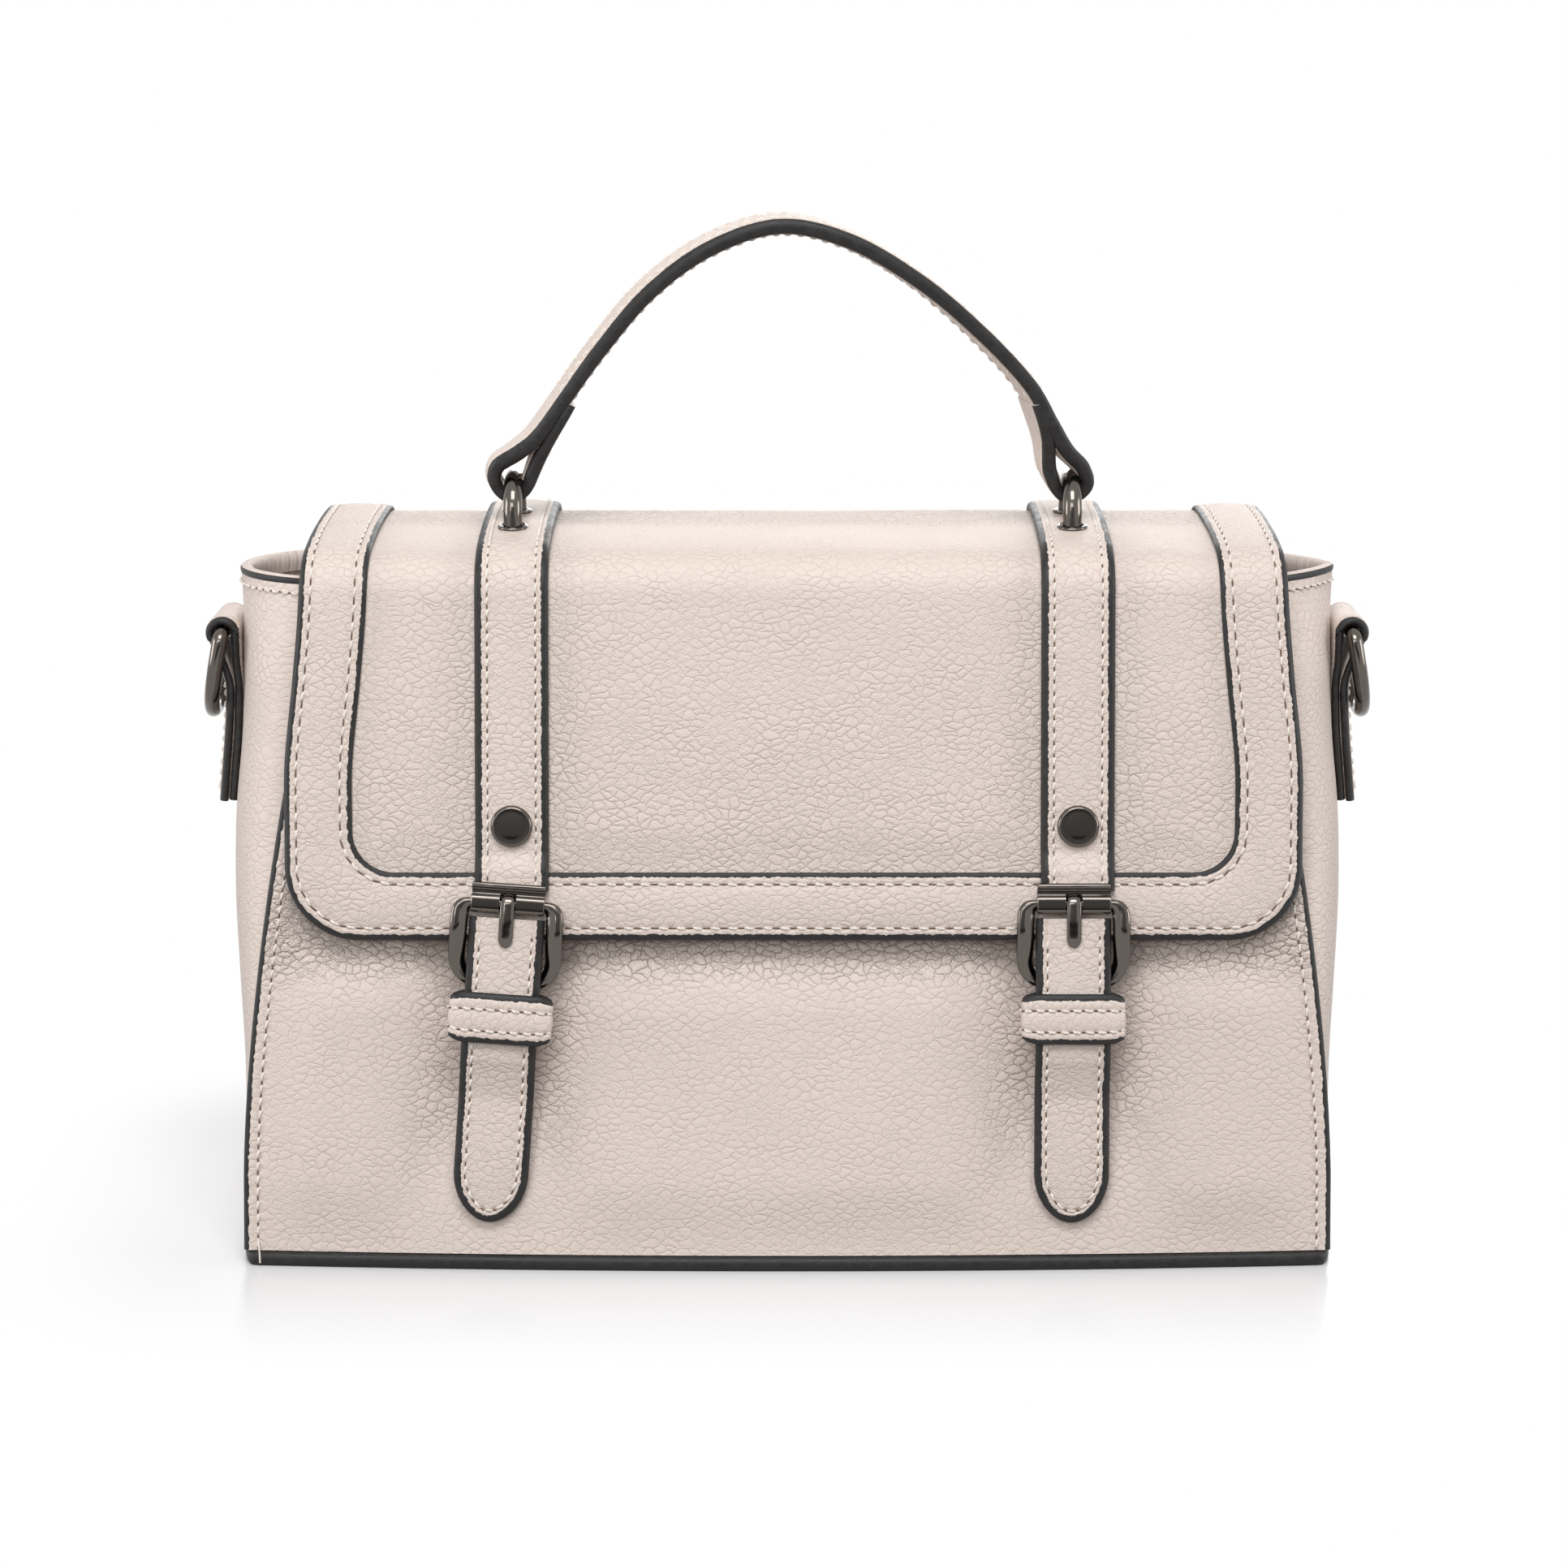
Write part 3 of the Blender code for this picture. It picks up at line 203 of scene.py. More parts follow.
class BagSewing(bpy.types.PropertyGroup):
    """Sizes of the seams, cut lines and swells."""

    thread_radius: length_setting("Thread radius", "Half the thickness of the sewing thread",
                                  0.00032, 0.0001, 0.001, 5)
    pitch: length_setting("Panel stitch", "Length of one stitch on the panels and the flap's rear",
                          0.0031, 0.001, 0.01)
    trim_pitch: length_setting("Border stitch", "Length of one stitch on the flap's border",
                               0.0042, 0.001, 0.01)
    ragged: length_setting("Ragged line", "How far the leather's cut line wanders beside the paint",
                           0.00028, 0.0, 0.001, 5)
    puff: length_setting("Puff", "How far the front leather swells between the straps",
                         0.0018, 0.0, 0.004)
    dip: length_setting("Dip", "How far the front leather is drawn in behind each strap",
                        0.0034, 0.0, 0.006)
    spacing: length_setting("Mesh spacing", "Distance between points across the broad leather",
                            0.0012, 0.0005, 0.005)


class BagStage(bpy.types.PropertyGroup):
    """Camera and lamps."""

    lens: bpy.props.FloatProperty(
        name="Lens", description="Focal length on a 36 mm sensor", default=89.25, min=20.0, max=200.0,
        subtype="DISTANCE_CAMERA")
    distance: length_setting("Distance", "How far in front of the bag's middle the camera stands",
                             0.956, 0.2, 5.0)
    height: length_setting("Height", "Height of the camera above the floor", 0.315, 0.0, 3.0)
    pitch: bpy.props.FloatProperty(
        name="Pitch", description="How far the camera looks down", default=math.radians(12.2),
        min=0.0, max=1.5, subtype="ANGLE", unit="ROTATION")
    world_light: bpy.props.FloatProperty(
        name="World", description="Strength of the even light from all round", default=0.30,
        min=0.0, max=2.0)
    key_watts: power_setting("Top lamp", "Power of the broad lamp above the front", 9.8)
    front_watts: power_setting("Front lamp", "Power of the broad lamp beside the camera", 5.4)
    side_watts: power_setting("Side lamps", "Power of each lamp beside the bag", 4.4)
    rim_watts: power_setting("Back lamp", "Power of the lamp behind the bag", 6.0)


def colours():
    """The finishes' colours."""
    return bpy.context.scene.bag_colours


def sewing():
    """The seams' sizes."""
    return bpy.context.scene.bag_sewing


def smooth_step(low, high, value):
    """0 below low, 1 above high and an even ease between them."""
    share = min(max((value - low) / (high - low), 0.0), 1.0)
    return share * share * (3.0 - 2.0 * share)


def spread(low, high, step):
    """Even values from low to high, about one step apart."""
    count = max(1, round(abs(high - low) / step))
    return [low + (high - low) * i / count for i in range(count + 1)]


def arc(centre, radius, start, turn, steps):
    """Points of an arc in a plane, which turns from one angle by another, both in degrees."""
    points = []
    for i in range(steps + 1):
        angle = math.radians(start + turn * i / steps)
        points.append((centre[0] + radius * math.cos(angle), centre[1] + radius * math.sin(angle)))
    return points


def curve_weights(u):
    """The shares of a curve's start, of its slope there, of its end and of the slope there."""
    return (2 * u ** 3 - 3 * u ** 2 + 1, u ** 3 - 2 * u ** 2 + u, 3 * u ** 2 - 2 * u ** 3, u ** 3 - u ** 2)


def smooth_line(points, steps):
    """A smooth curve through vectors, with equal steps from each to the next."""
    line = []
    last = len(points) - 1
    for k in range(last):
        start = points[k]
        end = points[k + 1]
        leave = (end - points[max(k - 1, 0)]) * 0.5
        reach = (points[min(k + 2, last)] - start) * 0.5
        for i in range(steps):
            a, b, c, d = curve_weights(i / steps)
            line.append(start * a + leave * b + end * c + reach * d)
    line.append(points[-1])
    return line


def read_table(table, at):
    """A smooth curve through the points of a table."""
    last = len(table) - 1
    k = 0
    while k < last - 1 and at > table[k + 1][0]:
        k += 1
    x0, y0 = table[k]
    x1, y1 = table[k + 1]
    before = table[max(k - 1, 0)]
    after = table[min(k + 2, last)]
    slope0 = (y1 - before[1]) / (x1 - before[0])
    slope1 = (after[1] - y0) / (after[0] - x0)
    span = x1 - x0
    a, b, c, d = curve_weights(min(max((at - x0) / span, 0.0), 1.0))
    start = a * y0 + b * span * slope0
    end = c * y1 + d * span * slope1
    return start + end


def half_depth(z):
    """Half the body's depth at a height, before any belly."""
    return BASE_HALF_DEPTH + (TOP_HALF_DEPTH - BASE_HALF_DEPTH) * z / LEAN_HEIGHT


def panel_edge(z):
    """Half the width of the front and back panels at a height."""
    rise = max(z - TAPER_START, 0.0) / (TAPER_END - TAPER_START)
    return PANEL_HALF_WIDTH - PANEL_TOP_TAPER * rise ** TAPER_POWER


def belly(x, z, amount):
    """How far a panel's lower part swells out."""
    seam = panel_edge(z) - SEAM_INSET
    across = max(0.0, 1.0 - (x / seam) ** 2)
    return amount * across * max(0.0, 1.0 - z / BELLY_TOP)


def slope_y(z):
    """The outer face of the flap's leather on its front slope."""
    return -half_depth(z) - FLAP_STAND_OFF


def gusset_plan(z, wall_inset, side_inset, steps, sign):
    """A gusset's plan at a height, front to back, on the right side and drawn in by the two insets.

    The sign picks the side whose pinch at the mouth is used.
    """
    seam = panel_edge(z) - SEAM_INSET
    reach = read_table(GUSSET_SIDE, z) - seam - side_inset
    depth = half_depth(z) - wall_inset
    power = 2.0 / (GUSSET_ROUND - GUSSET_PINCH[sign] * smooth_step(PINCH_START, RIM_Z, z))
    row = []
    for i in range(steps + 1):
        angle = math.pi * (i / steps - 0.5)
        out = reach * abs(math.cos(angle)) ** power
        along = depth * math.copysign(abs(math.sin(angle)) ** power, math.sin(angle))
        row.append(Vector((seam + out, along, z)))
    return row


def slope_frame(origin, twist=0.0):
    """A matrix whose X runs across, Y up the front slope and Z out of it."""
    up = Vector((0.0, BASE_HALF_DEPTH - TOP_HALF_DEPTH, LEAN_HEIGHT)).normalized()
    out = Vector((0.0, -up.z, up.y))
    turn = Matrix((Vector((1.0, 0.0, 0.0)), up, out)).transposed()
    spin = Matrix.Rotation(-twist, 3, "Z")
    return Matrix.Translation(origin) @ (turn @ spin).to_4x4()


def buckle_place(side):
    """The local frame of a buckle, with its origin on the hinge axis."""
    slope = slope_frame(Vector((BUCKLE_X[side], slope_y(AXIS_Z), AXIS_Z)))
    twist = LEFT_TWIST if side == "left" else 0.0
    return slope_frame(slope @ Vector((0.0, 0.0, AXIS_STAND_OFF)), twist)


def along_at(points, i, closed=False):
    """The direction of a line at one of its points."""
    before = points[i - 1] if closed else points[max(i - 1, 0)]
    after = points[(i + 1) % len(points)] if closed else points[min(i + 1, len(points) - 1)]
    return (after - before).normalized()


def lengths_along(points):
    """How far along a line each of its points is."""
    lengths = [0.0]
    for before, after in zip(points, points[1:]):
        lengths.append(lengths[-1] + (after - before).length)
    return lengths


def circle(count):
    """The cosine and sine of even turns round a circle."""
    angles = [2.0 * math.pi * k / count for k in range(count)]
    return [(math.cos(angle), math.sin(angle)) for angle in angles]


def even_edges(low, high, stations):
    """The two edges of a strip of one width, as (x, v) points."""
    return [(low, v) for v in stations], [(high, v) for v in stations]


def ring_faces(count, rings, closed=False, first=0):
    """The faces that join equal rings of points, with a cap at each end of an open run."""
    faces = []
    for i in range(rings if closed else rings - 1):
        here = first + i * count
        there = first + (i + 1) % rings * count
        for k in range(count):
            n = (k + 1) % count
            faces.append((here + k, here + n, there + n, there + k))
    if not closed:
        last = first + (rings - 1) * count
        faces.append(tuple(first + k for k in range(count - 1, -1, -1)))
        faces.append(tuple(last + k for k in range(count)))
    return faces


class Course:
    """The run of a strip in space: a line, the direction across it and the one out of its face."""

    def __init__(self, points, across, closed=False, flip=False):
        self.across = across.normalized()
        self.normals = []
        for i in range(len(points)):
            normal = along_at(points, i, closed).cross(self.across).normalized()
            self.normals.append(-normal if flip else normal)
        if closed:
            points = points + points[:1]
            self.normals.append(self.normals[0])
        self.points = points
        self.at = lengths_along(points)
        self.length = self.at[-1]
        self.k = 0

    def span(self, v):
        """The stretch of the line that holds a length along it, and the share along the stretch."""
        if v < self.at[self.k]:
            self.k = 0
        while self.k < len(self.at) - 2 and v > self.at[self.k + 1]:
            self.k += 1
        return self.k, (v - self.at[self.k]) / (self.at[self.k + 1] - self.at[self.k])

    def place(self, x, v, out):
        """The point at x across, v along and out from the face."""
        k, u = self.span(v)
        point = self.points[k].lerp(self.points[k + 1], u)
        normal = self.normals[k].lerp(self.normals[k + 1], u).normalized()
        return point + normal * out + self.across * x

    def at_height(self, z):
        """How far along a falling line a height is."""
        for k in range(len(self.points) - 1, 0, -1):
            if self.points[k - 1].z >= z >= self.points[k].z:
                u = (self.points[k - 1].z - z) / (self.points[k - 1].z - self.points[k].z)
                return self.at[k - 1] + u * (self.at[k] - self.at[k - 1])
        return 0.0


MERGE_DISTANCE = 2e-6
SHARP_ANGLE = math.radians(50.0)


def build_mesh(name, points, faces, finishes, kinds, lay=None, crumple=None):
    """A named object from points and faces, with the finish of each face and its laid-out place."""
    mesh = bpy.data.meshes.new(name)
    mesh.from_pydata(points, [], faces)
    for finish in finishes:
        mesh.materials.append(finish)
    mesh.polygons.foreach_set("material_index", kinds)
    if lay is not None:
        spots = mesh.attributes.new("lay", "FLOAT_VECTOR", "POINT")
        spots.data.foreach_set("vector", [value for spot in lay for value in spot])
    if crumple is not None:
        folds = mesh.attributes.new("crumple", "FLOAT", "POINT")
        folds.data.foreach_set("value", crumple)
    tidy = bmesh.new()
    tidy.from_mesh(mesh)
    bmesh.ops.remove_doubles(tidy, verts=tidy.verts, dist=MERGE_DISTANCE)
    bmesh.ops.dissolve_degenerate(tidy, edges=tidy.edges, dist=0.5 * MERGE_DISTANCE)
    bmesh.ops.recalc_face_normals(tidy, faces=tidy.faces)
    tidy.to_mesh(mesh)
    tidy.free()
    mesh.shade_smooth()
    mesh.set_sharp_from_angle(angle=SHARP_ANGLE)
    made = bpy.data.objects.new(name, mesh)
    bpy.context.scene.collection.objects.link(made)
    return made


def settle(piece, body, slot, *nodes):
    """Let a finished piece ride on a body in place of the construction's nodes."""
    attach(piece, body)
    if nodes:
        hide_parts(*nodes)


def inward_normals(edge, other, pointed):
    """The unit direction square to each point of an edge, on the side where the other edge is."""
    spots = [Vector(point) for point in edge]
    normals = []
    for i, spot in enumerate(spots):
        along = along_at(spots, i)
        normal = Vector((-along.y, along.x))
        normals.append(-normal if normal.dot(Vector(other[i]) - spot) < 0.0 else normal)
    if pointed:
        normals[-1] = Vector((0.0, spots[-2].y - spots[-1].y)).normalized()
    return normals


class Border:
    """How one long edge of a strip is finished: painted or bare, with its stitch row."""

    def __init__(self, paint, drop=0.0, row=0.0, painted=True):
        self.paint = paint
        self.drop = drop
        self.row = row
        self.painted = painted


# How the leather's cut line stands up beside the paint, and the groove that a stitch row presses in
LIP = 0.00012
LIP_RUN = 0.00014
PAINT_SHOULDER = 0.00022
BARE_SHOULDER = 0.0003
GROOVE = 0.00034
GROOVE_HALF = 0.0006
BEAD_TURNS = (-90.0, -60.0, -30.0, 0.0, 30.0, 60.0, 90.0)
# The finish of a strip's face, as its place in the strip's materials
FACE = 0
PAINT = 1
BACK = 2


def ragged_line(seed, along):
    """How far a hand-cut line wanders at a length along it: shallow scallops and some chance."""
    scallop = abs(math.sin(along * 1950.0 + seed)) - 0.5
    chance = noise.noise(Vector((along * 900.0, seed * 7.3, 0.5)))
    return sewing().ragged * (0.75 * scallop + 1.1 * chance)


def bead_rows(border, thick):
    """The rounded side of one edge, from its underside to its top, as (inset, height, kind)."""
    low = -border.drop
    middle = 0.5 * (low + thick)
    half = 0.5 * (thick - low)
    rows = []
    for turn in BEAD_TURNS:
        angle = math.radians(turn)
        inset = border.paint * (1.0 - math.cos(angle))
        rows.append((inset, middle + half * math.sin(angle), PAINT if border.painted else FACE))
    return rows


def face_rows(border, thick, seed, along):
    """One edge's rows on the face, from the paint to the leather's flat, as (inset, height, kind)."""
    if not border.painted:
        return [(border.paint + BARE_SHOULDER, thick, FACE)]
    line = border.paint + PAINT_SHOULDER + ragged_line(seed, along)
    rows = [(line, thick, PAINT), (line + LIP_RUN, thick + LIP, FACE)]
    if border.row > 0.0:
        rows.append((max(border.row - GROOVE_HALF, line + 2.0 * LIP_RUN), thick + LIP, FACE))
        rows.append((border.row, thick + LIP - GROOVE, FACE))
        rows.append((border.row + GROOVE_HALF, thick + LIP, FACE))
    return rows


def strip(name, left, right, place, thick, borders, finishes, columns, crown=0.0, base=None,
          double=False, back_columns=1, pointed=False, closed=False, seed=1.0, swell=None,
          crumple=None, cap=PAINT):
    """A strip of leather between two edges, laid on a course, with rounded borders.

    left and right are (x, v) points, and finishes the face, the edge and the back. base gives the
    underside's height at a point, swell a height added to the flat, and crumple how creased it is.
    double gives the back the same borders as the face, and otherwise it is plain. The back goes in
    where the face's swell goes in.
    """
    edges = (left, right)
    normals = (inward_normals(left, right, pointed), inward_normals(right, left, pointed))
    points = []
    lay = []
    folds = []
    ring_kinds = []
    for i in range(len(left)):
        low = 0.0 if base is None else base(*left[i])
        beads = []
        flats = []
        for k in (0, 1):
            edge = Vector(edges[k][i])
            inward = normals[k][i]
            beads.append([(edge + inward * inset, height, kind)
                          for inset, height, kind in bead_rows(borders[k], thick)])
            rows = face_rows(borders[k], thick, seed + 11.0 * k, edge.x + edge.y)
            flats.append([(edge + inward * inset, height, kind) for inset, height, kind in rows])
        start = flats[0][-1][0]
        stop = flats[1][-1][0]
        level = flats[0][-1][1]
        middle = []
        for c in range(1, columns):
            u = c / columns
            spot = start.lerp(stop, u)
            rise = level + crown * 4.0 * u * (1.0 - u)
            if swell is not None:
                rise += swell(spot.x, spot.y)
            middle.append((spot, rise, FACE))
        face = flats[0] + middle + list(reversed(flats[1]))
        ring = beads[0] + face + list(reversed(beads[1]))
        if double:
            ring += [(spot, thick - height, BACK if kind == FACE else kind)
                     for spot, height, kind in reversed(face)]
        else:
            near = beads[1][0][0]
            far = beads[0][0][0]
            under = -max(borders[0].drop, borders[1].drop)
            for c in range(1, back_columns):
                spot = near.lerp(far, c / back_columns)
                drawn = 0.0 if swell is None else min(0.0, swell(spot.x, spot.y))
                ring.append((spot, under + drawn, BACK))
        if not ring_kinds:
            for (_, _, a), (_, _, b) in zip(ring, ring[1:] + ring[:1]):
                ring_kinds.append(a if a == b else (BACK if BACK in (a, b) else FACE))
            if not double:
                ring_kinds[-1] = BACK
        for spot, height, kind in ring:
            points.append(place(spot.x, spot.y, low + height))
            lay.append((spot.x, spot.y, seed))
            folds.append(0.0 if crumple is None else crumple(spot.x, spot.y))
    stations = len(left)
    faces = ring_faces(len(ring_kinds), stations, closed)
    kinds = ring_kinds * stations if closed else ring_kinds * (stations - 1) + [cap, cap]
    return build_mesh(name, points, faces, finishes, kinds, lay, folds)


def skin(name, rings, finish, closed=False):
    """One closed surface through a run of equal rings of points."""
    points = [point for ring in rings for point in ring]
    faces = ring_faces(len(rings[0]), len(rings), closed)
    return build_mesh(name, points, faces, [finish], [0] * len(faces))


def tube(name, path, across, half_side, half_out, finish, sides=24, closed=False, place=None):
    """A tube along a path with an oval section, whose first axis stays across."""
    rings = []
    for i, point in enumerate(path):
        along = along_at(path, i, closed)
        out = along.cross(across).normalized()
        side = out.cross(along).normalized()
        wide = half_side(i) if callable(half_side) else half_side
        deep = half_out(i) if callable(half_out) else half_out
        ring = [point + side * (wide * c) + out * (deep * s) for c, s in circle(sides)]
        rings.append([place @ spot for spot in ring] if place is not None else ring)
    return skin(name, rings, finish, closed)


def turned(name, profile, finish, place, sides=48):
    """A piece turned about local Z from (radius, height) points, then placed."""
    rings = [[place @ Vector((radius * c, radius * s, height)) for c, s in circle(sides)]
             for radius, height in profile]
    return skin(name, rings, finish)


STITCH_RINGS = ((0.0, 0.45, -0.55), (0.10, 0.85, 0.05), (0.30, 1.0, 0.50), (0.50, 1.0, 0.62),
                (0.70, 1.0, 0.50), (0.90, 0.85, 0.05), (1.0, 0.45, -0.55))
STITCH_SIDES = 6
STITCH_FILL = 0.74
STITCH_SLANT = 0.00030
HOLE_SIDES = 8
# A needle hole's half width as a share of the thread's radius, and its lens as (size, height,
# share of the gap)
HOLE_HALF = 0.72
HOLE_RINGS = ((0.5, -0.00010, 0.7), (1.0, 0.00002, 1.0), (0.5, 0.00012, 0.7))


class Seam:
    """Gathers the stitches of one piece's rows, then makes them one object."""

    def __init__(self, seed):
        self.points = []
        self.faces = []
        self.kinds = []
        self.chance = random.Random(seed)

    def add_rings(self, rings, kind):
        """Skin rings of points, with caps, into the gathered mesh."""
        faces = ring_faces(len(rings[0]), len(rings), first=len(self.points))
        for ring in rings:
            self.points += ring
        self.faces += faces
        self.kinds += [kind] * len(faces)

    def stitch(self, start, end, normal):
        """One slanting thread stitch between two holes, arched over the leather."""
        side = (end - start).cross(normal).normalized()
        radius = sewing().thread_radius * self.chance.uniform(0.92, 1.08)
        rings = []
        for share, size, lift in STITCH_RINGS:
            centre = start.lerp(end, share) + normal * (lift * radius * 1.6)
            centre += side * STITCH_SLANT * (share - 0.5)
            rings.append([centre + (side * c + normal * s) * radius * size
                          for c, s in circle(STITCH_SIDES)])
        self.add_rings(rings, 0)

    def hole(self, centre, along, normal, gap):
        """The dark pit between two stitches: a shallow lens of shadow as long as their gap."""
        radius = HOLE_HALF * sewing().thread_radius
        side = (along.cross(normal).normalized() + along * 0.35).normalized()
        rings = []
        for size, lift, length in HOLE_RINGS:
            rings.append([centre + (side * (radius * size * c) + along * (0.5 * gap * length * s))
                          + normal * lift for c, s in circle(HOLE_SIDES)])
        self.add_rings(rings, 1)

    def row(self, line, place, out, pitch, facing=1.0, fill=STITCH_FILL):
        """Stitch along a line of (x, v) points, at a height out from the course."""
        spots = [Vector(point) for point in line]
        reach = lengths_along(spots)
        count = max(1, round(reach[-1] / pitch))
        step = reach[-1] / count
        k = 0
        ends = []
        for i in range(count + 1):
            at = min(i * step, reach[-1])
            while k < len(reach) - 2 and at > reach[k + 1]:
                k += 1
            ends.append(spots[k].lerp(spots[k + 1], (at - reach[k]) / (reach[k + 1] - reach[k])))
        for a, b in zip(ends, ends[1:]):
            middle = a.lerp(b, 0.5)
            wander = self.chance.uniform(-0.05, 0.05) * step
            half = (b - a) * (0.5 * fill * self.chance.uniform(0.93, 1.07))
            high = out(middle.x, middle.y) if callable(out) else out
            start = place(middle.x - half.x, middle.y - half.y, high)
            end = place(middle.x + half.x, middle.y + half.y, high)
            centre = place(middle.x, middle.y, high)
            normal = (place(middle.x, middle.y, high + MM) - centre).normalized() * facing
            along = (end - start).normalized()
            shift = along * wander
            self.stitch(start + shift, end + shift, normal)
            self.hole(place(b.x, b.y, high), along, normal, (1.15 - fill) * step)

    def both_rows(self, left, right, inset, place, out, pitch):
        """Stitch a row inside each long edge of a strip."""
        for edge, other in ((left, right), (right, left)):
            self.row(inset_line(edge, other, inset), place, out, pitch)

    def make(self, name, body):
        """Make the gathered stitches one object that rides on a body."""
        finishes = [finish_of("sewing_thread"), finish_of("needle_hole")]
        piece = build_mesh(name, self.points, self.faces, finishes, self.kinds)
        settle(piece, body, "leather")


def inset_line(edge, other, inset, pointed=False):
    """The line that runs a distance inside an edge."""
    normals = inward_normals(edge, other, pointed)
    return [tuple(Vector(point) + normal * inset) for point, normal in zip(edge, normals)]


def feed(tree, value, socket):
    """Give an input its value: another node's output, or a number, a place or a colour."""
    if isinstance(value, bpy.types.NodeSocket):
        tree.links.new(value, socket)
    elif socket.type == "RGBA":
        socket.default_value = (*value, 1.0)
    else:
        socket.default_value = value


def add_node(tree, kind, inputs, **settings):
    """A node with its settings, and a value for each input that is named or numbered."""
    node = tree.nodes.new(kind)
    for name, value in settings.items():
        setattr(node, name, value)
    for name, value in inputs.items():
        feed(tree, value, node.inputs[name])
    return node


def math_node(tree, operation, *values, clamp=False):
    """A math node's result, with each input given as a socket or a number."""
    inputs = dict(enumerate(values))
    return add_node(tree, "ShaderNodeMath", inputs, operation=operation, use_clamp=clamp).outputs[0]


def times(tree, first, second, clamp=False):
    """The product of two values."""
    return math_node(tree, "MULTIPLY", first, second, clamp=clamp)


def plus(tree, first, second):
    """The sum of two values."""
    return math_node(tree, "ADD", first, second)


def vector_node(tree, operation, *values):
    """A vector math node's result, with each input given as a socket or three numbers."""
    node = add_node(tree, "ShaderNodeVectorMath", dict(enumerate(values)), operation=operation)
    return node.outputs["Value" if operation == "LENGTH" else "Vector"]


def noise_node(tree, place, scale, detail, rough):
    """The outputs of a noise texture, read at a place."""
    inputs = {"Vector": place, "Scale": scale, "Detail": detail, "Roughness": rough}
    return add_node(tree, "ShaderNodeTexNoise", inputs).outputs


def ramp_between(tree, value, low, high):
    """0 to 1 as a value goes from low to high, smoothly."""
    inputs = {"Value": value, "From Min": low, "From Max": high}
    return add_node(tree, "ShaderNodeMapRange", inputs, interpolation_type="SMOOTHSTEP").outputs["Result"]


def near_edge(tree, distance, width):
    """1 at a cell's edge, which fades to 0 over a width."""
    return math_node(tree, "SUBTRACT", 1.0, ramp_between(tree, distance, 0.0, width))


def mix_colour(tree, factor, first, second):
    """Two colours mixed; each is a socket or a colour."""
    node = add_node(tree, "ShaderNodeMix", {"Factor": factor}, data_type="RGBA")
    for name, value in (("A", first), ("B", second)):
        feed(tree, value, next(s for s in node.inputs if s.name == name and s.type == "RGBA"))
    return next(s for s in node.outputs if s.type == "RGBA")


def effect_group(name, values, results):
    """A node group that reads a place and some values, with its given and its returned sockets."""
    tree = bpy.data.node_groups.new(name, "ShaderNodeTree")
    tree.interface.new_socket(name="Place", in_out="INPUT", socket_type="NodeSocketVector")
    for value, default in values:
        socket = tree.interface.new_socket(name=value, in_out="INPUT", socket_type="NodeSocketFloat")
        socket.default_value = default
    for result in results:
        tree.interface.new_socket(name=result, in_out="OUTPUT", socket_type="NodeSocketFloat")
    return tree, tree.nodes.new("NodeGroupInput").outputs, tree.nodes.new("NodeGroupOutput").inputs


# What bends the grain's cells, as (noise per metre, reach), and its two sizes of cell, as (factor on
# the cells per metre, stretch, turn in degrees)
GRAIN_SWAYS = ((150.0, 0.0034), (520.0, 0.0016))
GRAIN_CELLS = ((1.0, (0.72, 1.12, 1.0), 45.0), (2.3, (0.80, 1.10, 1.0), 38.0))


def pebble_group():
    """Pebbled grain: lozenge-like pillows of uneven size, parted by fine slanting creases."""
    name = "Pebbled grain"
    if name in bpy.data.node_groups:
        return bpy.data.node_groups[name]
    values = (("Cells per Metre", 380.0), ("Relief", 1.0), ("Fold", 0.0))
    tree, given, out = effect_group(name, values, ("Height", "Crease", "Tone"))
    place = given["Place"]
    shift = place
    for scale, reach in GRAIN_SWAYS:
        sway = vector_node(tree, "MULTIPLY_ADD", noise_node(tree, place, scale, 2.0, 0.55)["Color"],
                           (reach, reach, 0.0), (-0.5 * reach, -0.5 * reach, 0.0))
        shift = vector_node(tree, "ADD", shift, sway)
    edges = []
    for factor, stretch, turn in GRAIN_CELLS:
        spot = add_node(tree, "ShaderNodeMapping", {
            "Vector": shift, "Rotation": (0.0, 0.0, math.radians(turn)), "Scale": stretch})
        cells = add_node(tree, "ShaderNodeTexVoronoi", {
            "Vector": spot.outputs[0], "Scale": times(tree, given["Cells per Metre"], factor),
            "Randomness": 0.80}, voronoi_dimensions="2D", feature="DISTANCE_TO_EDGE")
        edges.append(cells.outputs["Distance"])
    strong = ramp_between(tree, noise_node(tree, place, 95.0, 3.0, 0.6)["Fac"], 0.32, 0.66)
    weak = math_node(tree, "SUBTRACT", 1.0, strong)
    pillow = near_edge(tree, edges[0], 0.36)
    line = near_edge(tree, edges[0], 0.075)
    fine = near_edge(tree, edges[1], 0.20)
    deep = plus(tree, times(tree, strong, 0.55), 0.45)
    body = plus(tree, times(tree, pillow, 0.42), times(tree, line, 0.45))
    fine_share = plus(tree, times(tree, weak, 0.22), 0.10)
    dip = plus(tree, times(tree, body, deep), times(tree, fine, fine_share))
    gain = plus(tree, times(tree, given["Fold"], 1.7), given["Relief"])
    pores = times(tree, noise_node(tree, place, 2300.0, 2.0, 0.6)["Fac"], 0.09)
    feed(tree, plus(tree, times(tree, times(tree, dip, gain), -1.0), pores), out["Height"])
    # The crease mask: the leathers are darkened towards it as painted shade, and are rougher there
    shade = plus(tree, times(tree, line, deep), times(tree, fine, 0.12))
    feed(tree, times(tree, shade, gain, clamp=True), out["Crease"])
    feed(tree, noise_node(tree, place, 24.0, 3.0, 0.55)["Fac"], out["Tone"])
    return tree


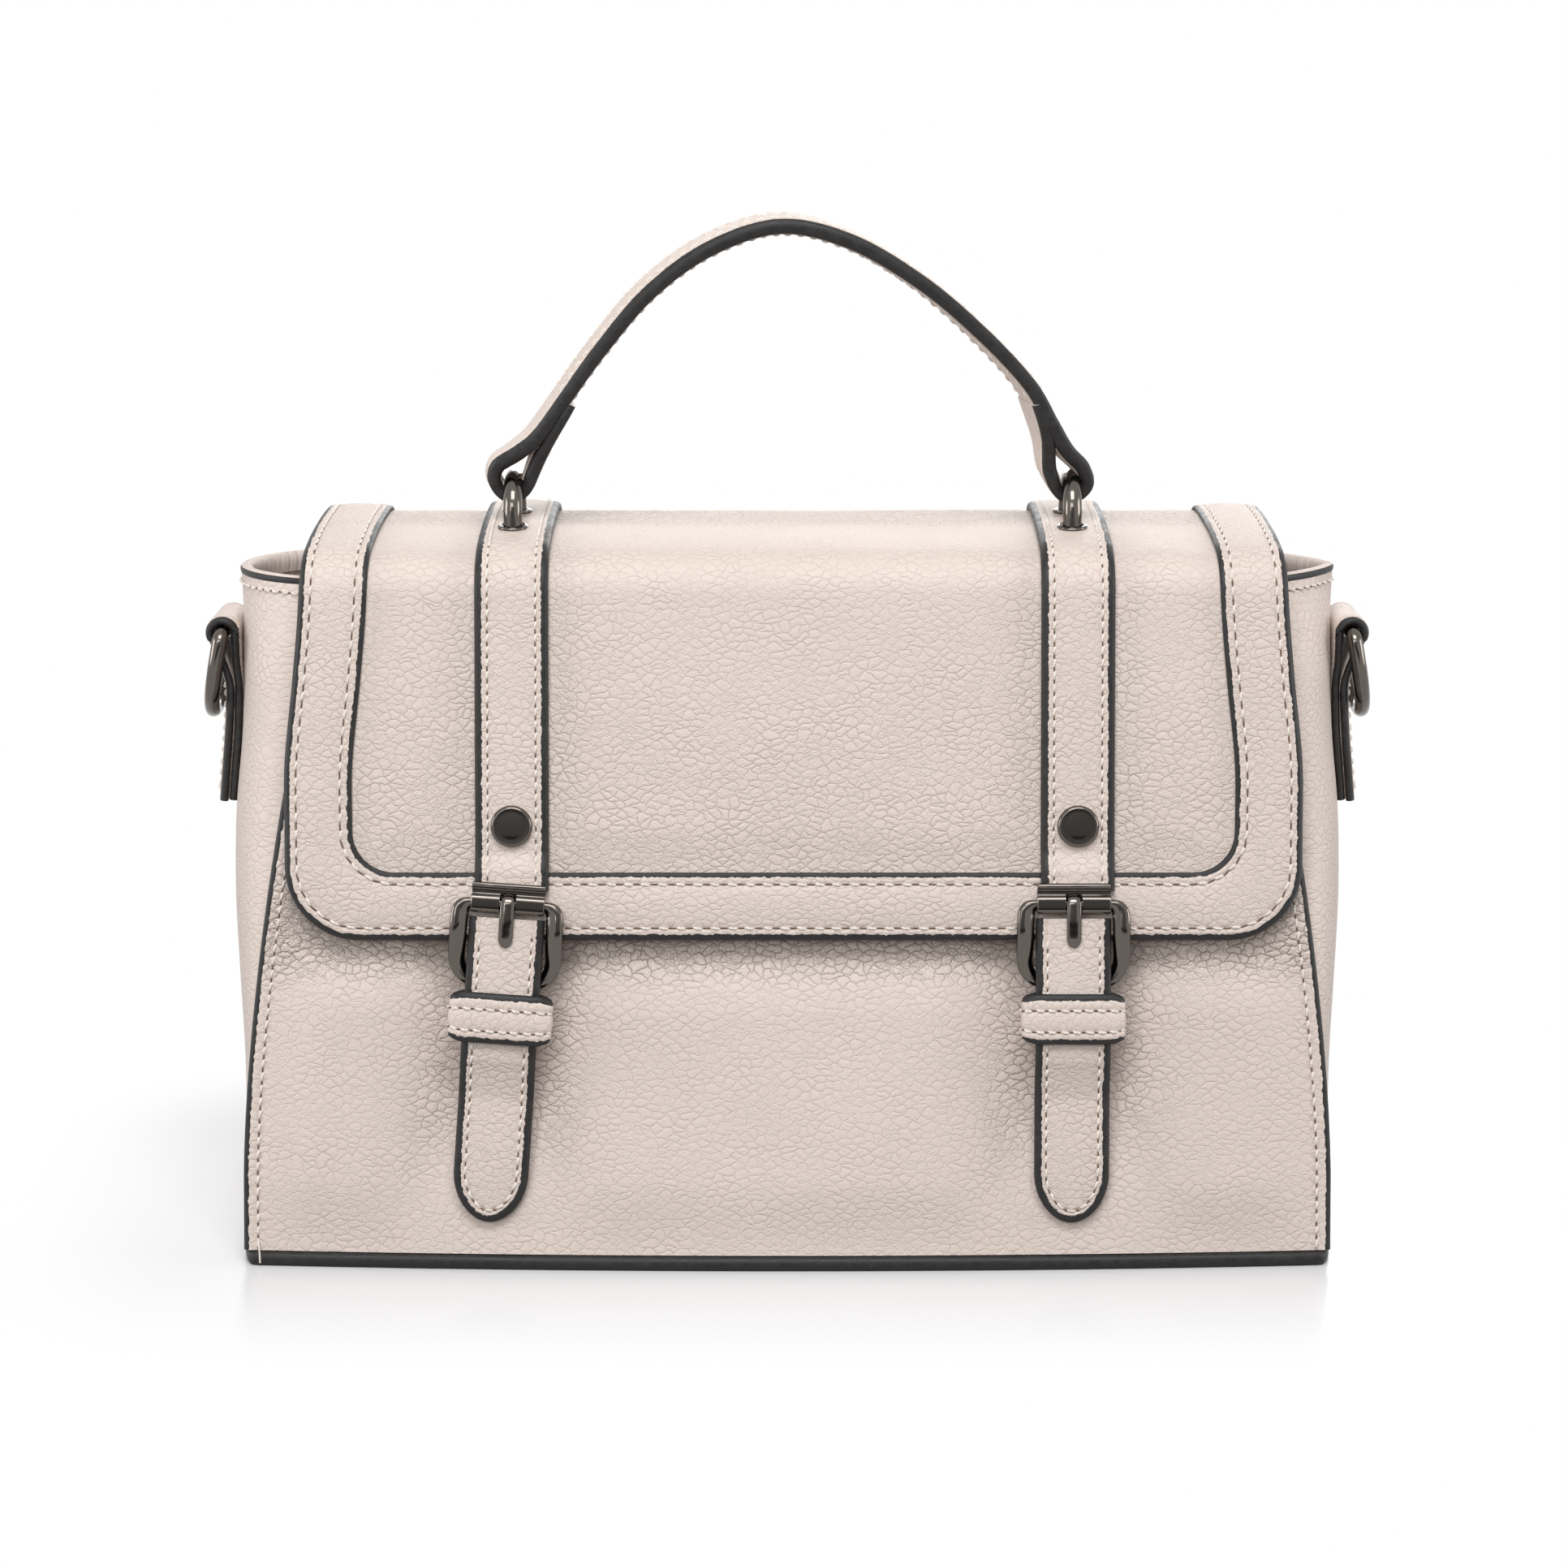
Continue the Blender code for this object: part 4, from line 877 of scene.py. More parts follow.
def smudge_group():
    """Small uneven marks that rub and handling leave: a mask and a fine height."""
    name = "Handling marks"
    if name in bpy.data.node_groups:
        return bpy.data.node_groups[name]
    tree, given, out = effect_group(name, (("Marks per Metre", 300.0),), ("Mask", "Height"))
    marks = noise_node(tree, given["Place"], given["Marks per Metre"], 3.0, 0.6)
    feed(tree, ramp_between(tree, marks["Fac"], 0.35, 0.68), out["Mask"])
    scale = times(tree, given["Marks per Metre"], 5.0)
    feed(tree, noise_node(tree, given["Place"], scale, 3.0, 0.65)["Fac"], out["Height"])
    return tree


def new_finish(name, colour, roughness):
    """A named material of one colour, with its node tree and its shader."""
    finish = bpy.data.materials.new(name)
    finish.use_nodes = True
    tree = finish.node_tree
    shader = tree.nodes["Principled BSDF"]
    feed(tree, colour, shader.inputs["Base Color"])
    shader.inputs["Roughness"].default_value = roughness
    finish.diffuse_color = (*colour, 1.0)
    return finish, tree, shader


def group_node(tree, group, place, **values):
    """Put a shared effect in a material with its own values, and give back its outputs."""
    inputs = {name.replace("_", " "): value for name, value in values.items()}
    return add_node(tree, "ShaderNodeGroup", {"Place": place, **inputs}, node_tree=group).outputs


def bump(tree, shader, height, distance):
    """Feed a height to the shader's normal."""
    node = add_node(tree, "ShaderNodeBump", {"Height": height, "Distance": distance, "Strength": 1.0})
    feed(tree, node.outputs["Normal"], shader.inputs["Normal"])


def own_place(tree):
    """The place of each point in the piece's own space."""
    return tree.nodes.new("ShaderNodeTexCoord").outputs["Object"]


def attribute_of(tree, name):
    """The outputs of a value that the strips carry on their points."""
    return add_node(tree, "ShaderNodeAttribute", {}, attribute_name=name).outputs


def scaled(colour, *factors):
    """A colour times one factor, or times one for each channel."""
    return tuple(value * factor for value, factor in zip(colour, factors * 3))


LEATHER_ROUGH = 0.52
LEATHER_DEPTH = 0.00034
# The grained leathers, as (cells per metre, relief)
LEATHERS = {"body_leather": (480.0, 0.50), "flap_leather": (480.0, 0.50),
            "strap_leather": (520.0, 0.44), "handle_leather": (700.0, 0.30)}


def leather_finish(name, cells, relief):
    """Grained leather, read in the laid-out place that each strip carries."""
    colour = colours().leather
    finish, tree, shader = new_finish(name, colour, LEATHER_ROUGH)
    grain = group_node(tree, pebble_group(), attribute_of(tree, "lay")["Vector"],
                       Cells_per_Metre=cells, Relief=relief, Fold=attribute_of(tree, "crumple")["Fac"])
    # Painted shade: the leather is darkened towards the crease colour in the grain's creases, more deeply
    # where it is crumpled
    creased = mix_colour(tree, times(tree, grain["Crease"], 0.42), colour, colours().painted_crease_shade)
    pale = tuple(min(1.0, value) for value in scaled(colour, 1.04))
    tone = times(tree, ramp_between(tree, grain["Tone"], 0.3, 0.7), 0.5)
    feed(tree, mix_colour(tree, tone, creased, pale), shader.inputs["Base Color"])
    worn = plus(tree, times(tree, grain["Crease"], 0.2), LEATHER_ROUGH)
    feed(tree, worn, shader.inputs["Roughness"])
    shader.inputs["Specular IOR Level"].default_value = 0.35
    bump(tree, shader, grain["Height"], LEATHER_DEPTH)
    return finish


def marked_finish(name, colour, second, share, marks, roughness, relief=0.0, rub=None, **sockets):
    """A material whose handling marks take it a share of the way to a second colour.

    marks is how many there are to a metre, relief the height of its fine bumps, and rub the
    roughness of a clean spot and what a mark adds to it. The other values are the shader's own.
    """
    finish, tree, shader = new_finish(name, colour, roughness)
    found = group_node(tree, smudge_group(), own_place(tree), Marks_per_Metre=marks)
    toned = mix_colour(tree, times(tree, found["Mask"], share), colour, second)
    feed(tree, toned, shader.inputs["Base Color"])
    if rub is not None:
        clean, added = rub
        feed(tree, plus(tree, times(tree, found["Mask"], added), clean), shader.inputs["Roughness"])
    if relief > 0.0:
        bump(tree, shader, found["Height"], relief)
    for socket, value in sockets.items():
        shader.inputs[socket.replace("_", " ")].default_value = value
    return finish


def ink_finish():
    """Black edge paint: a rubbery coat with brush marks and paler rubbed spots."""
    return marked_finish("edge_paint", colours().ink, (0.036, 0.034, 0.034), 0.5, 420.0, 0.42,
                         relief=0.00008, rub=(0.38, 0.16), Specular_IOR_Level=0.30)


def thread_finish():
    """Twisted shiny thread: fine slanting plies with a pale sheen."""
    colour = colours().thread
    finish, tree, shader = new_finish("sewing_thread", colour, 0.38)
    inputs = {"Vector": own_place(tree), "Scale": 950.0, "Distortion": 1.5}
    plies = add_node(tree, "ShaderNodeTexWave", inputs, bands_direction="DIAGONAL").outputs["Fac"]
    toned = mix_colour(tree, times(tree, plies, 0.4), colour, scaled(colour, 0.70))
    feed(tree, toned, shader.inputs["Base Color"])
    shader.inputs["Sheen Weight"].default_value = 0.2
    bump(tree, shader, plies, 0.0001)
    return finish


def hole_finish():
    """The shadow in a needle hole, with a trace of leather dust."""
    colour = colours().needle_hole
    return marked_finish("needle_hole", colour, scaled(colour, 2.2), 1.0, 2500.0, 0.9)


def suede_finish():
    """Suede cloth: a short nap brushed in patches."""
    colour = colours().lining
    return marked_finish("suede_lining", colour, scaled(colour, 0.80), 0.35, 130.0, 0.85,
                         relief=0.0003, Sheen_Weight=0.35, Sheen_Roughness=0.5)


def board_finish():
    """Grey-brown fibre board with pressed flecks."""
    colour = colours().board
    return marked_finish("fibre_board", colour, scaled(colour, 0.6), 1.0, 900.0, 0.9, relief=0.0002)


def metal_finish():
    """Polished gunmetal plating with faint smears that dull it a little."""
    colour = colours().gunmetal
    return marked_finish("gunmetal", colour, scaled(colour, 0.86, 0.82, 0.78), 0.6, 160.0, 0.16,
                         relief=0.000012, rub=(0.13, 0.07), Metallic=1.0)


FINISH_MAKERS = {"edge_paint": ink_finish, "sewing_thread": thread_finish, "needle_hole": hole_finish,
                 "suede_lining": suede_finish, "fibre_board": board_finish, "gunmetal": metal_finish}


def finish_of(name):
    """The named material, made when it is first asked for."""
    found = bpy.data.materials.get(name)
    if found is None:
        found = leather_finish(name, *LEATHERS[name]) if name in LEATHERS else FINISH_MAKERS[name]()
    return found


def leather_set(name="strap_leather", back="strap_leather"):
    """The finishes of a strip: its face, its painted edge and its back."""
    return [finish_of(name), finish_of("edge_paint"), finish_of(back)]


def from_straps(x, z):
    """How far a point of the front is from the middle of the nearer lower strap."""
    drift = math.tan(LEFT_TWIST) * (AXIS_Z - z)
    return min(abs(x - BUCKLE_X["left"] + drift), abs(x - BUCKLE_X["right"]))


def front_swell(x, z):
    """How far the front leather stands off its plain face: puffs between the straps, drawn in
    beside them and under the flap's lower edge, with a little unevenness."""
    size = sewing()
    off = from_straps(x, z)
    rim = smooth_step(0.0, 0.020, panel_edge(z) - abs(x)) * smooth_step(PANEL_LOW, 0.022, z)
    low = 1.0 - smooth_step(0.066, 0.082, z)
    puff = size.puff * rim * low * smooth_step(0.014, 0.034, off)
    drawn = smooth_step(0.010, 0.046, z) * (1.0 - 0.6 * smooth_step(0.075, 0.10, z))
    dip = size.dip * drawn * rim * math.exp(-((off - 0.010) / 0.0085) ** 2)
    tuck = 0.0018 * smooth_step(0.060, 0.077, z) * rim
    uneven = 0.00045 * noise.noise(Vector((x * 28.0, z * 34.0, 4.0))) * rim
    folds = noise.noise(Vector((x * 150.0 + z * 120.0, z * 190.0 - x * 70.0, 9.0)))
    ripple = 0.00040 * folds * smooth_step(0.15, 0.8, front_crumple(x, z))
    return puff - dip - tuck + uneven + ripple


def front_crumple(x, z):
    """Where the front leather is creased: under the flap's edge and beside the straps. The grain's relief
    and its painted crease shade both deepen with it, so the leather is painted darker there.
    """
    along_flap = smooth_step(0.0655, 0.0765, z) * (1.0 - smooth_step(0.084, 0.104, z))
    beside = math.exp(-((from_straps(x, z) - 0.012) / 0.0075) ** 2) * smooth_step(0.016, 0.055, z)
    return min(1.0, max(along_flap, beside * 0.62))


def panel_outline(low, high, step):
    """The two side edges of a body panel, as (x, z) points from its foot to its top."""
    heights = spread(low, high, step)
    left = [(-panel_edge(z), z) for z in heights]
    right = [(panel_edge(z), z) for z in heights]
    return left, right


def front_place(x, z, out):
    """A point of the front panel, out from its face at x and z."""
    face = Vector((x, -half_depth(z) - belly(x, z, FRONT_BELLY), z))
    return face + LEAN_OUT * (out - PANEL_THICK)


def back_place(x, z, out):
    """A point of the back panel, out from its face at x and z."""
    face = Vector((x, half_depth(z) + belly(x, z, BACK_BELLY), z))
    return face + Vector((0.0, -LEAN_OUT.y, LEAN_OUT.z)) * (out - PANEL_THICK)


def back_swell(x, z):
    """A gentle unevenness of the back leather."""
    rim = smooth_step(0.0, 0.02, panel_edge(z) - abs(x)) * smooth_step(PANEL_LOW, 0.02, z)
    return (0.0006 + 0.0006 * noise.noise(Vector((x * 22.0, z * 26.0, 15.0)))) * rim


PANEL_ROW = 0.0036
PANEL_PAINT = 0.0011
PANEL_STEP = 0.9 * MM


def make_panels():
    """The front and back panels with their painted sides and stitch rows."""
    columns = round(2.0 * PANEL_HALF_WIDTH / sewing().spacing)
    sides = Border(PANEL_PAINT, row=PANEL_ROW)
    for name, place, top, swell, crumple, seed in (
            ("front_panel", front_place, FRONT_TOP, front_swell, front_crumple, 3.0),
            ("back_panel", back_place, BACK_TOP, back_swell, None, 5.0)):
        left, right = panel_outline(PANEL_LOW, top, PANEL_STEP)
        piece = strip(name + "_leather", left, right, place, PANEL_THICK, (sides, sides),
                      leather_set("body_leather", "suede_lining"), columns, back_columns=columns // 2,
                      swell=swell, crumple=crumple, seed=seed)
        settle(piece, "bag", "leather", name)
        seam = Seam(seed)
        seam.both_rows(left, right, PANEL_ROW, place, PANEL_THICK, sewing().pitch)
        seam.make(name + "_stitching", "bag")


def make_thread_end():
    """A loose thread end that runs down over the base band at the left front corner."""
    top = front_place(-panel_edge(0.0065) + PANEL_ROW, 0.0065, PANEL_THICK + 0.0003)
    bend = front_place(-panel_edge(0.004) + PANEL_ROW + 0.0004, 0.0040, PANEL_THICK + 0.0012)
    low = Vector((bend.x + 0.0002, bend.y - 0.0006, 0.0009))
    path = smooth_line([top, bend, low], 6)
    piece = tube("loose_thread_end", path, Vector((1.0, 0.0, 0.0)), 0.00022, 0.00022,
                 finish_of("sewing_thread"), sides=8)
    settle(piece, "bag", "leather")


GUSSET_COLUMNS = 120
GUSSET_STEP = 1.6 * MM
RIM_ROW = 0.0028
RIM_PITCH = 0.0029
# The rolled rim from outside to inside, as (share of the wall from its middle, height)
RIM_ROLL = ((1.08, -0.0007), (1.26, -0.0003), (1.32, 0.0001), (1.24, 0.0006), (1.02, 0.0009),
            (0.30, 0.0013), (-0.6, 0.0013), (-1.5, 0.0010), (-2.1, 0.0003), (-2.3, -0.0008),
            (-2.1, -0.0022), (-1.5, -0.0036))
# How many of the rim's points are painted, from the outside
RIM_PAINTED = 5


def gusset_swell(a, z):
    """How far a gusset's leather stands off its plain face."""
    middle = math.sin(math.pi * a)
    soft = noise.noise(Vector((a * 3.2, z * 30.0, 21.0)))
    crease = noise.noise(Vector((a * 9.0, z * 95.0, 27.0)))
    by_tab = smooth_step(TAB_BOTTOM - 0.012, TAB_BOTTOM, z) * smooth_step(0.25, 0.45, middle)
    rise = 0.0009 * soft + 0.0003 * crease
    return rise * middle * smooth_step(PANEL_LOW, 0.02, z) * (1.0 - 0.9 * by_tab)


def make_gussets():
    """The two bulging side walls, with a rolled and painted rim at the mouth."""
    wall = PANEL_THICK + LAYER_GAP
    heights = spread(PANEL_LOW, RIM_Z, GUSSET_STEP)
    width = GUSSET_COLUMNS + 1
    for side, sign in SIDES:
        walls = []
        for wall_inset, side_inset in ((wall, 0.0), (wall + GUSSET_THICK, GUSSET_THICK)):
            plans = [gusset_plan(z, wall_inset, side_inset, GUSSET_COLUMNS, sign) for z in heights]
            walls.append([[Vector((sign * p.x, p.y, p.z)) for p in plan] for plan in plans])
        outer, inner = walls
        run = lengths_along(outer[0])
        points = []
        lay = []
        for r, z in enumerate(heights):
            for c in range(width):
                out = outer[r][c]
                away = out - inner[r][c]
                away = away.normalized() if away.length > 1e-6 else Vector((0.0, 0.0, 1.0))
                points.append(out + away * gusset_swell(c / GUSSET_COLUMNS, z + 0.3 * sign))
                lay.append((run[c] + sign, z, 7.0))
        for row in rim_rows(outer[-1], inner[-1]):
            points += row
            lay += [(at + sign, RIM_Z + 0.001, 7.0) for at in run]
        for z, row in reversed(list(zip(heights, inner))):
            points += row
            lay += [(at + sign, 0.4 - z, 7.0) for at in run]
        rows = len(points) // width
        faces = []
        kinds = []
        for r in range(rows):
            n = (r + 1) % rows
            for c in range(GUSSET_COLUMNS):
                faces.append((r * width + c, r * width + c + 1, n * width + c + 1, n * width + c))
            painted = len(heights) <= r < len(heights) + RIM_PAINTED - 1
            kinds += [PAINT if painted else FACE] * GUSSET_COLUMNS
        for c in (0, GUSSET_COLUMNS):
            faces.append(tuple(r * width + c for r in range(rows)))
        kinds += [FACE, FACE]
        piece = build_mesh(side + "_gusset_leather", points, faces, leather_set("body_leather"),
                           kinds, lay)
        settle(piece, "bag", "leather", side + "_gusset")
        stitch_rim(side, sign)


def rim_rows(outer, inner):
    """The rolled rim over a gusset's top edge, from outside to inside."""
    rows = []
    for share, rise in RIM_ROLL:
        row = []
        for a, b in zip(outer, inner):
            across = a - b
            half = across.normalized() * (0.5 * GUSSET_THICK) if across.length > 1e-6 else across
            row.append(a.lerp(b, 0.5) + half * share + Vector((0.0, 0.0, rise)))
        rows.append(row)
    return rows


def stitch_rim(side, sign):
    """The stitch row round a gusset just below its rim."""
    height = RIM_Z - RIM_ROW
    plan = gusset_plan(height, PANEL_THICK + LAYER_GAP, 0.0, GUSSET_COLUMNS, sign)
    line = [Vector((sign * point.x, point.y, height)) for point in plan]
    course = Course(line, Vector((0.0, 0.0, 1.0)), flip=sign < 0.0)
    seam = Seam(31.0 + sign)
    stations = [(0.0, v) for v in spread(0.0, course.length, 0.001)]
    seam.row(stations, course.place, 0.00018, RIM_PITCH)
    seam.make(side + "_rim_stitching", "bag")


def body_loop(z, wall_inset, side_inset, wall_steps=40, side_steps=24):
    """The body's whole plan at a height, drawn in by the two insets."""
    seam = panel_edge(z) - SEAM_INSET
    right = gusset_plan(z, wall_inset, side_inset, side_steps, 1.0)
    left = [Vector((-point.x, point.y, z))
            for point in reversed(gusset_plan(z, wall_inset, side_inset, side_steps, -1.0))]
    front = []
    back = []
    for i in range(1, wall_steps):
        x = seam * (2.0 * i / wall_steps - 1.0)
        front.append(Vector((x, -half_depth(z) - belly(x, z, FRONT_BELLY) + wall_inset, z)))
        back.append(Vector((-x, half_depth(z) + belly(x, z, BACK_BELLY) - wall_inset, z)))
    return front + right + back + left


WELT_PROFILE = ((0.0, -0.0022), (0.0, -0.0006), (0.0006, 0.0), (0.0018, 0.0002), (0.0028, 0.0),
                (0.0033, -0.0006), (0.0035, -0.0022))


def make_base():
    """The black base: a rounded welt round a flat bottom."""
    rings = []
    for z, reach in WELT_PROFILE:
        loop = body_loop(0.0, -BASE_PROUD - reach, -BASE_PROUD - reach)
        rings.append([Vector((point.x, point.y, z)) for point in loop])
    piece = skin("base_welt", rings, finish_of("edge_paint"))
    settle(piece, "bag", "edge_ink", "base_panel")


LINING_WALL = PANEL_THICK + LAYER_GAP + GUSSET_THICK + 0.0007
LINING_SIDE = GUSSET_THICK + 0.0007
LINING_THICK = 0.0008
LINING_FLOOR = 0.0036 + 0.0016 + 0.0003
LINING_HANG = 0.0030
LINING_ROW = 0.0040
LINING_PITCH = 0.0036


def gathered(point, share, index):
    """A lining point moved in by the cloth's gathers, which deepen towards the mouth at the sides."""
    side = smooth_step(0.095, 0.118, abs(point.x))
    wave = 0.5 + 0.5 * math.sin(index * 1.6 + 1.7 * noise.noise(point * 60.0))
    inward = 0.0026 * wave * side * smooth_step(0.35, 1.0, share)
    soft = 0.0010 * (0.5 + 0.5 * noise.noise(point * 26.0)) * smooth_step(0.1, 0.4, share)
    length = math.hypot(point.x, point.y)
    scale = 1.0 - (inward + soft) / length
    return Vector((point.x * scale, point.y * scale, point.z))


def lining_loop(z, inset, lift, share, gather):
    """The lining's plan at a height: drawn in where the front leather dips, and hung lower at the sides."""
    loop = []
    for i, point in enumerate(body_loop(z, LINING_WALL + inset, LINING_SIDE + inset, 80, 110)):
        if point.y < 0.0:
            fade = smooth_step(0.0, 0.010, panel_edge(z) - SEAM_INSET - abs(point.x))
            point.y += fade * max(0.0, -front_swell(point.x, z))
        if gather:
            point = gathered(point, share, i)
        hang = LINING_HANG * smooth_step(0.100, 0.114, abs(point.x)) * smooth_step(0.80, 1.0, share)
        loop.append(point + Vector((0.0, 0.0, lift - hang)))
    return loop


def make_lining():
    """The suede cup inside the body: gathered at the mouth and rolled over at its hem."""
    levels = spread(LINING_FLOOR + 0.001, FRONT_TOP - 0.0004, 0.0035)
    top = levels[-1]
    shares = [(z - levels[0]) / (top - levels[0]) for z in levels]
    rings = [lining_loop(z, 0.0, 0.0, share, False) for z, share in zip(levels, shares)]
    for lift, inset in ((0.0006, 0.0002), (0.0007, 0.0007), (0.0002, 0.0011)):
        rings.append(lining_loop(top, inset, lift, 1.0, False))
    for z, share in reversed(list(zip(levels, shares))):
        rings.append(lining_loop(z, LINING_THICK, 0.0, share, True))
    piece = skin("suede_lining_cup", rings, finish_of("suede_lining"))
    settle(piece, "bag", "lining", "lining")
    seam = Seam(41.0)
    course = Course(lining_loop(top - LINING_ROW, LINING_THICK + 0.0013, 0.0, 1.0, False),
                    Vector((0.0, 0.0, 1.0)), closed=True)
    inner = [(0.0, v) for v in spread(0.0, course.length, 0.001)]
    seam.row(inner, course.place, -0.0004, LINING_PITCH)
    seam.make("lining_stitching", "bag")


def flap_course(with_band=False):
    """The flap's outer face from its rear edge, or from the band's foot, over the top and down the front."""
    line = (BAND_LINE if with_band else ()) + FLAP_LINE
    slope_top = Vector((FLAP_CENTRE, slope_y(SLOPE_TOP), SLOPE_TOP))
    slope_end = Vector((FLAP_CENTRE, slope_y(FLAP_BOTTOM), FLAP_BOTTOM))
    ahead = slope_top.lerp(slope_end, 0.08)
    bent = smooth_line([Vector((FLAP_CENTRE, y, z)) for y, z in line] + [slope_top, ahead], 6)
    down = [slope_top.lerp(slope_end, i / 12.0) for i in range(13)]
    return Course(bent[:6 * len(line)] + down, Vector((1.0, 0.0, 0.0)))


def flap_half(v):
    """Half the flap's width at a length along it, before its round corners."""
    return read_table(FLAP_HALF_WIDTHS, v)


def corner_run(end, inset, radius, turns):
    """Points of a round corner that keeps to the flap's own width, drawn in from its edge."""
    points = []
    for i in range(turns + 1):
        angle = 0.5 * math.pi * i / turns
        v = end - radius + radius * math.sin(angle)
        points.append((flap_half(v) - inset - radius + radius * math.cos(angle), v))
    return points


def flap_outline(course, start, inset, step):
    """The flap's right edge as (x, v) from a start to its round lower corner."""
    end = course.length - inset
    corner = FLAP_CORNER - inset
    turns = max(8, round(0.5 * math.pi * corner / step))
    edge = [(flap_half(v) - inset, v) for v in spread(start, end - corner, step)[:-1]]
    return edge + corner_run(end, inset, corner, turns)


def from_upper_strap(x):
    """How far a point of the flap is from the edge of the nearer upper strap."""
    return min(abs(x + FLAP_CENTRE - middle) for middle in STRAP_X.values()) - UPPER_HALF


def flap_swell_at(course):
    """How far the flap's leather stands off: soft puffs between its border and straps."""
    length = course.length
    inner = TRIM_WIDTH

    def swell(x, v):
        straps = min(from_upper_strap(x), 0.02)
        room = min(flap_half(v) - inner - abs(x), length - inner - v, straps)
        puff = 0.0009 * smooth_step(-0.0005, 0.012, room) * smooth_step(0.030, 0.060, v)
        uneven = 0.00028 * noise.noise(Vector((x * 30.0, v * 34.0, 2.0)))
        crest = smooth_step(0.004, 0.010, v) * (1.0 - smooth_step(0.020, 0.034, v))
        ripple = 0.00016 * crest * noise.noise(Vector((x * 160.0, v * 520.0, 6.0)))
        return puff + uneven * smooth_step(-0.001, 0.006, room) + ripple * smooth_step(0.0, 0.003, straps)

    return swell


def flap_crumple_at(course):
    """Where the flap's leather shows deeper grain: low on the slope, at its borders and on the crest. The
    grain's painted crease shade deepens there too.
    """
    length = course.length

    def crumple(x, v):
        low = smooth_step(0.060, length - 0.020, v)
        crest = smooth_step(0.006, 0.014, v) * (1.0 - smooth_step(0.026, 0.036, v))
        by_strap = math.exp(-(from_upper_strap(x) / 0.007) ** 2)
        return min(1.0, 0.16 * low + 0.50 * crest + 0.12 * by_strap)

    return crumple


FLAP_INSET = 0.0011
FLAP_PAINT = 0.0009
# The rear seam's rows, up from the edge of the leather, and how far they end from its sides
BAND_ROWS = (0.0028, 0.0060)
BAND_ROW_END = 0.003


def make_flap():
    """The flap's leather, which turns down at the rear into the band sewn to the back panel."""
    course = flap_course()
    swell = flap_swell_at(course)
    crumple = flap_crumple_at(course)
    whole = flap_course(with_band=True)
    ahead = whole.length - course.length
    right = [(FLAP_REAR_HALF - FLAP_INSET, v) for v in spread(0.0, ahead + TRIM_START, 0.0012)[:-1]]
    right += [(x, v + ahead) for x, v in flap_outline(course, TRIM_START, FLAP_INSET, 0.0012)]
    left = [(-x, v) for x, v in right]
    columns = round(2.0 * flap_half(course.length) / sewing().spacing)
    border = Border(FLAP_PAINT)
    piece = strip("flap_leather", left, right, whole.place, FLAP_THICK, (border, border),
                  leather_set("flap_leather", "flap_leather"), columns,
                  base=lambda x, v: -FLAP_THICK, swell=lambda x, v: swell(x, v - ahead),
                  crumple=lambda x, v: crumple(x, v - ahead), seed=13.0)
    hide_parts("flap_panel", "hinge_band")
    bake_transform(piece)
    seam = Seam(17.0)
    half = FLAP_REAR_HALF - BAND_ROW_END
    for v in BAND_ROWS:
        line = [(x, v) for x in spread(-half, half, 0.004)]
        seam.row(line, whole.place, LIP, sewing().pitch)
    seam.make("band_stitching", "bag")
    make_flap_lining(course)
    make_trim(course)


def make_flap_lining(course):
    """The suede under the flap, hemmed just inside its painted edge."""
    low = -FLAP_THICK - LAYER_GAP - LINING_THICK
    right = flap_outline(course, 0.0035, 0.0017, 0.0025)
    left = [(-x, v) for x, v in right]
    hem = Border(0.0003, painted=False)
    suede = [finish_of("suede_lining")] * 3
    piece = strip("flap_suede", left, right, course.place, LINING_THICK, (hem, hem), suede, 60,
                  base=lambda x, v: low, seed=19.0)
    settle(piece, "flap", "lining", "flap_lining")


OUTER_ROW = 0.0031
INNER_ROW = 0.0029
OUTER_PAINT = 0.0014
INNER_PAINT = 0.0009
BORDER_FILL = 0.60


def trim_pairs(course, step):
    """Outer and inner points of the border strip, as (x, v), round the flap's three free sides."""
    end = course.length
    turns = 26
    outer_corner = corner_run(end, 0.0, FLAP_CORNER, turns)
    inner_corner = corner_run(end - TRIM_WIDTH, TRIM_WIDTH, TRIM_CORNER, turns)
    outer_side = spread(TRIM_START, outer_corner[0][1], step)
    count = len(outer_side) - 1
    side = []
    for i, v in enumerate(outer_side[:-1]):
        w = TRIM_START + (inner_corner[0][1] - TRIM_START) * i / count
        side.append(((flap_half(v), v), (flap_half(w) - TRIM_WIDTH, w)))
    foot_count = round(2.0 * outer_corner[-1][0] / step)
    right = side + list(zip(outer_corner, inner_corner))
    left = [((-outer[0], outer[1]), (-inner[0], inner[1])) for outer, inner in reversed(right)]
    foot = []
    for i in range(1, foot_count):
        u = i / foot_count
        outer = Vector(right[-1][0]).lerp(Vector(left[0][0]), u)
        inner = Vector(right[-1][1]).lerp(Vector(left[0][1]), u)
        foot.append((tuple(outer), tuple(inner)))
    return right + foot + left


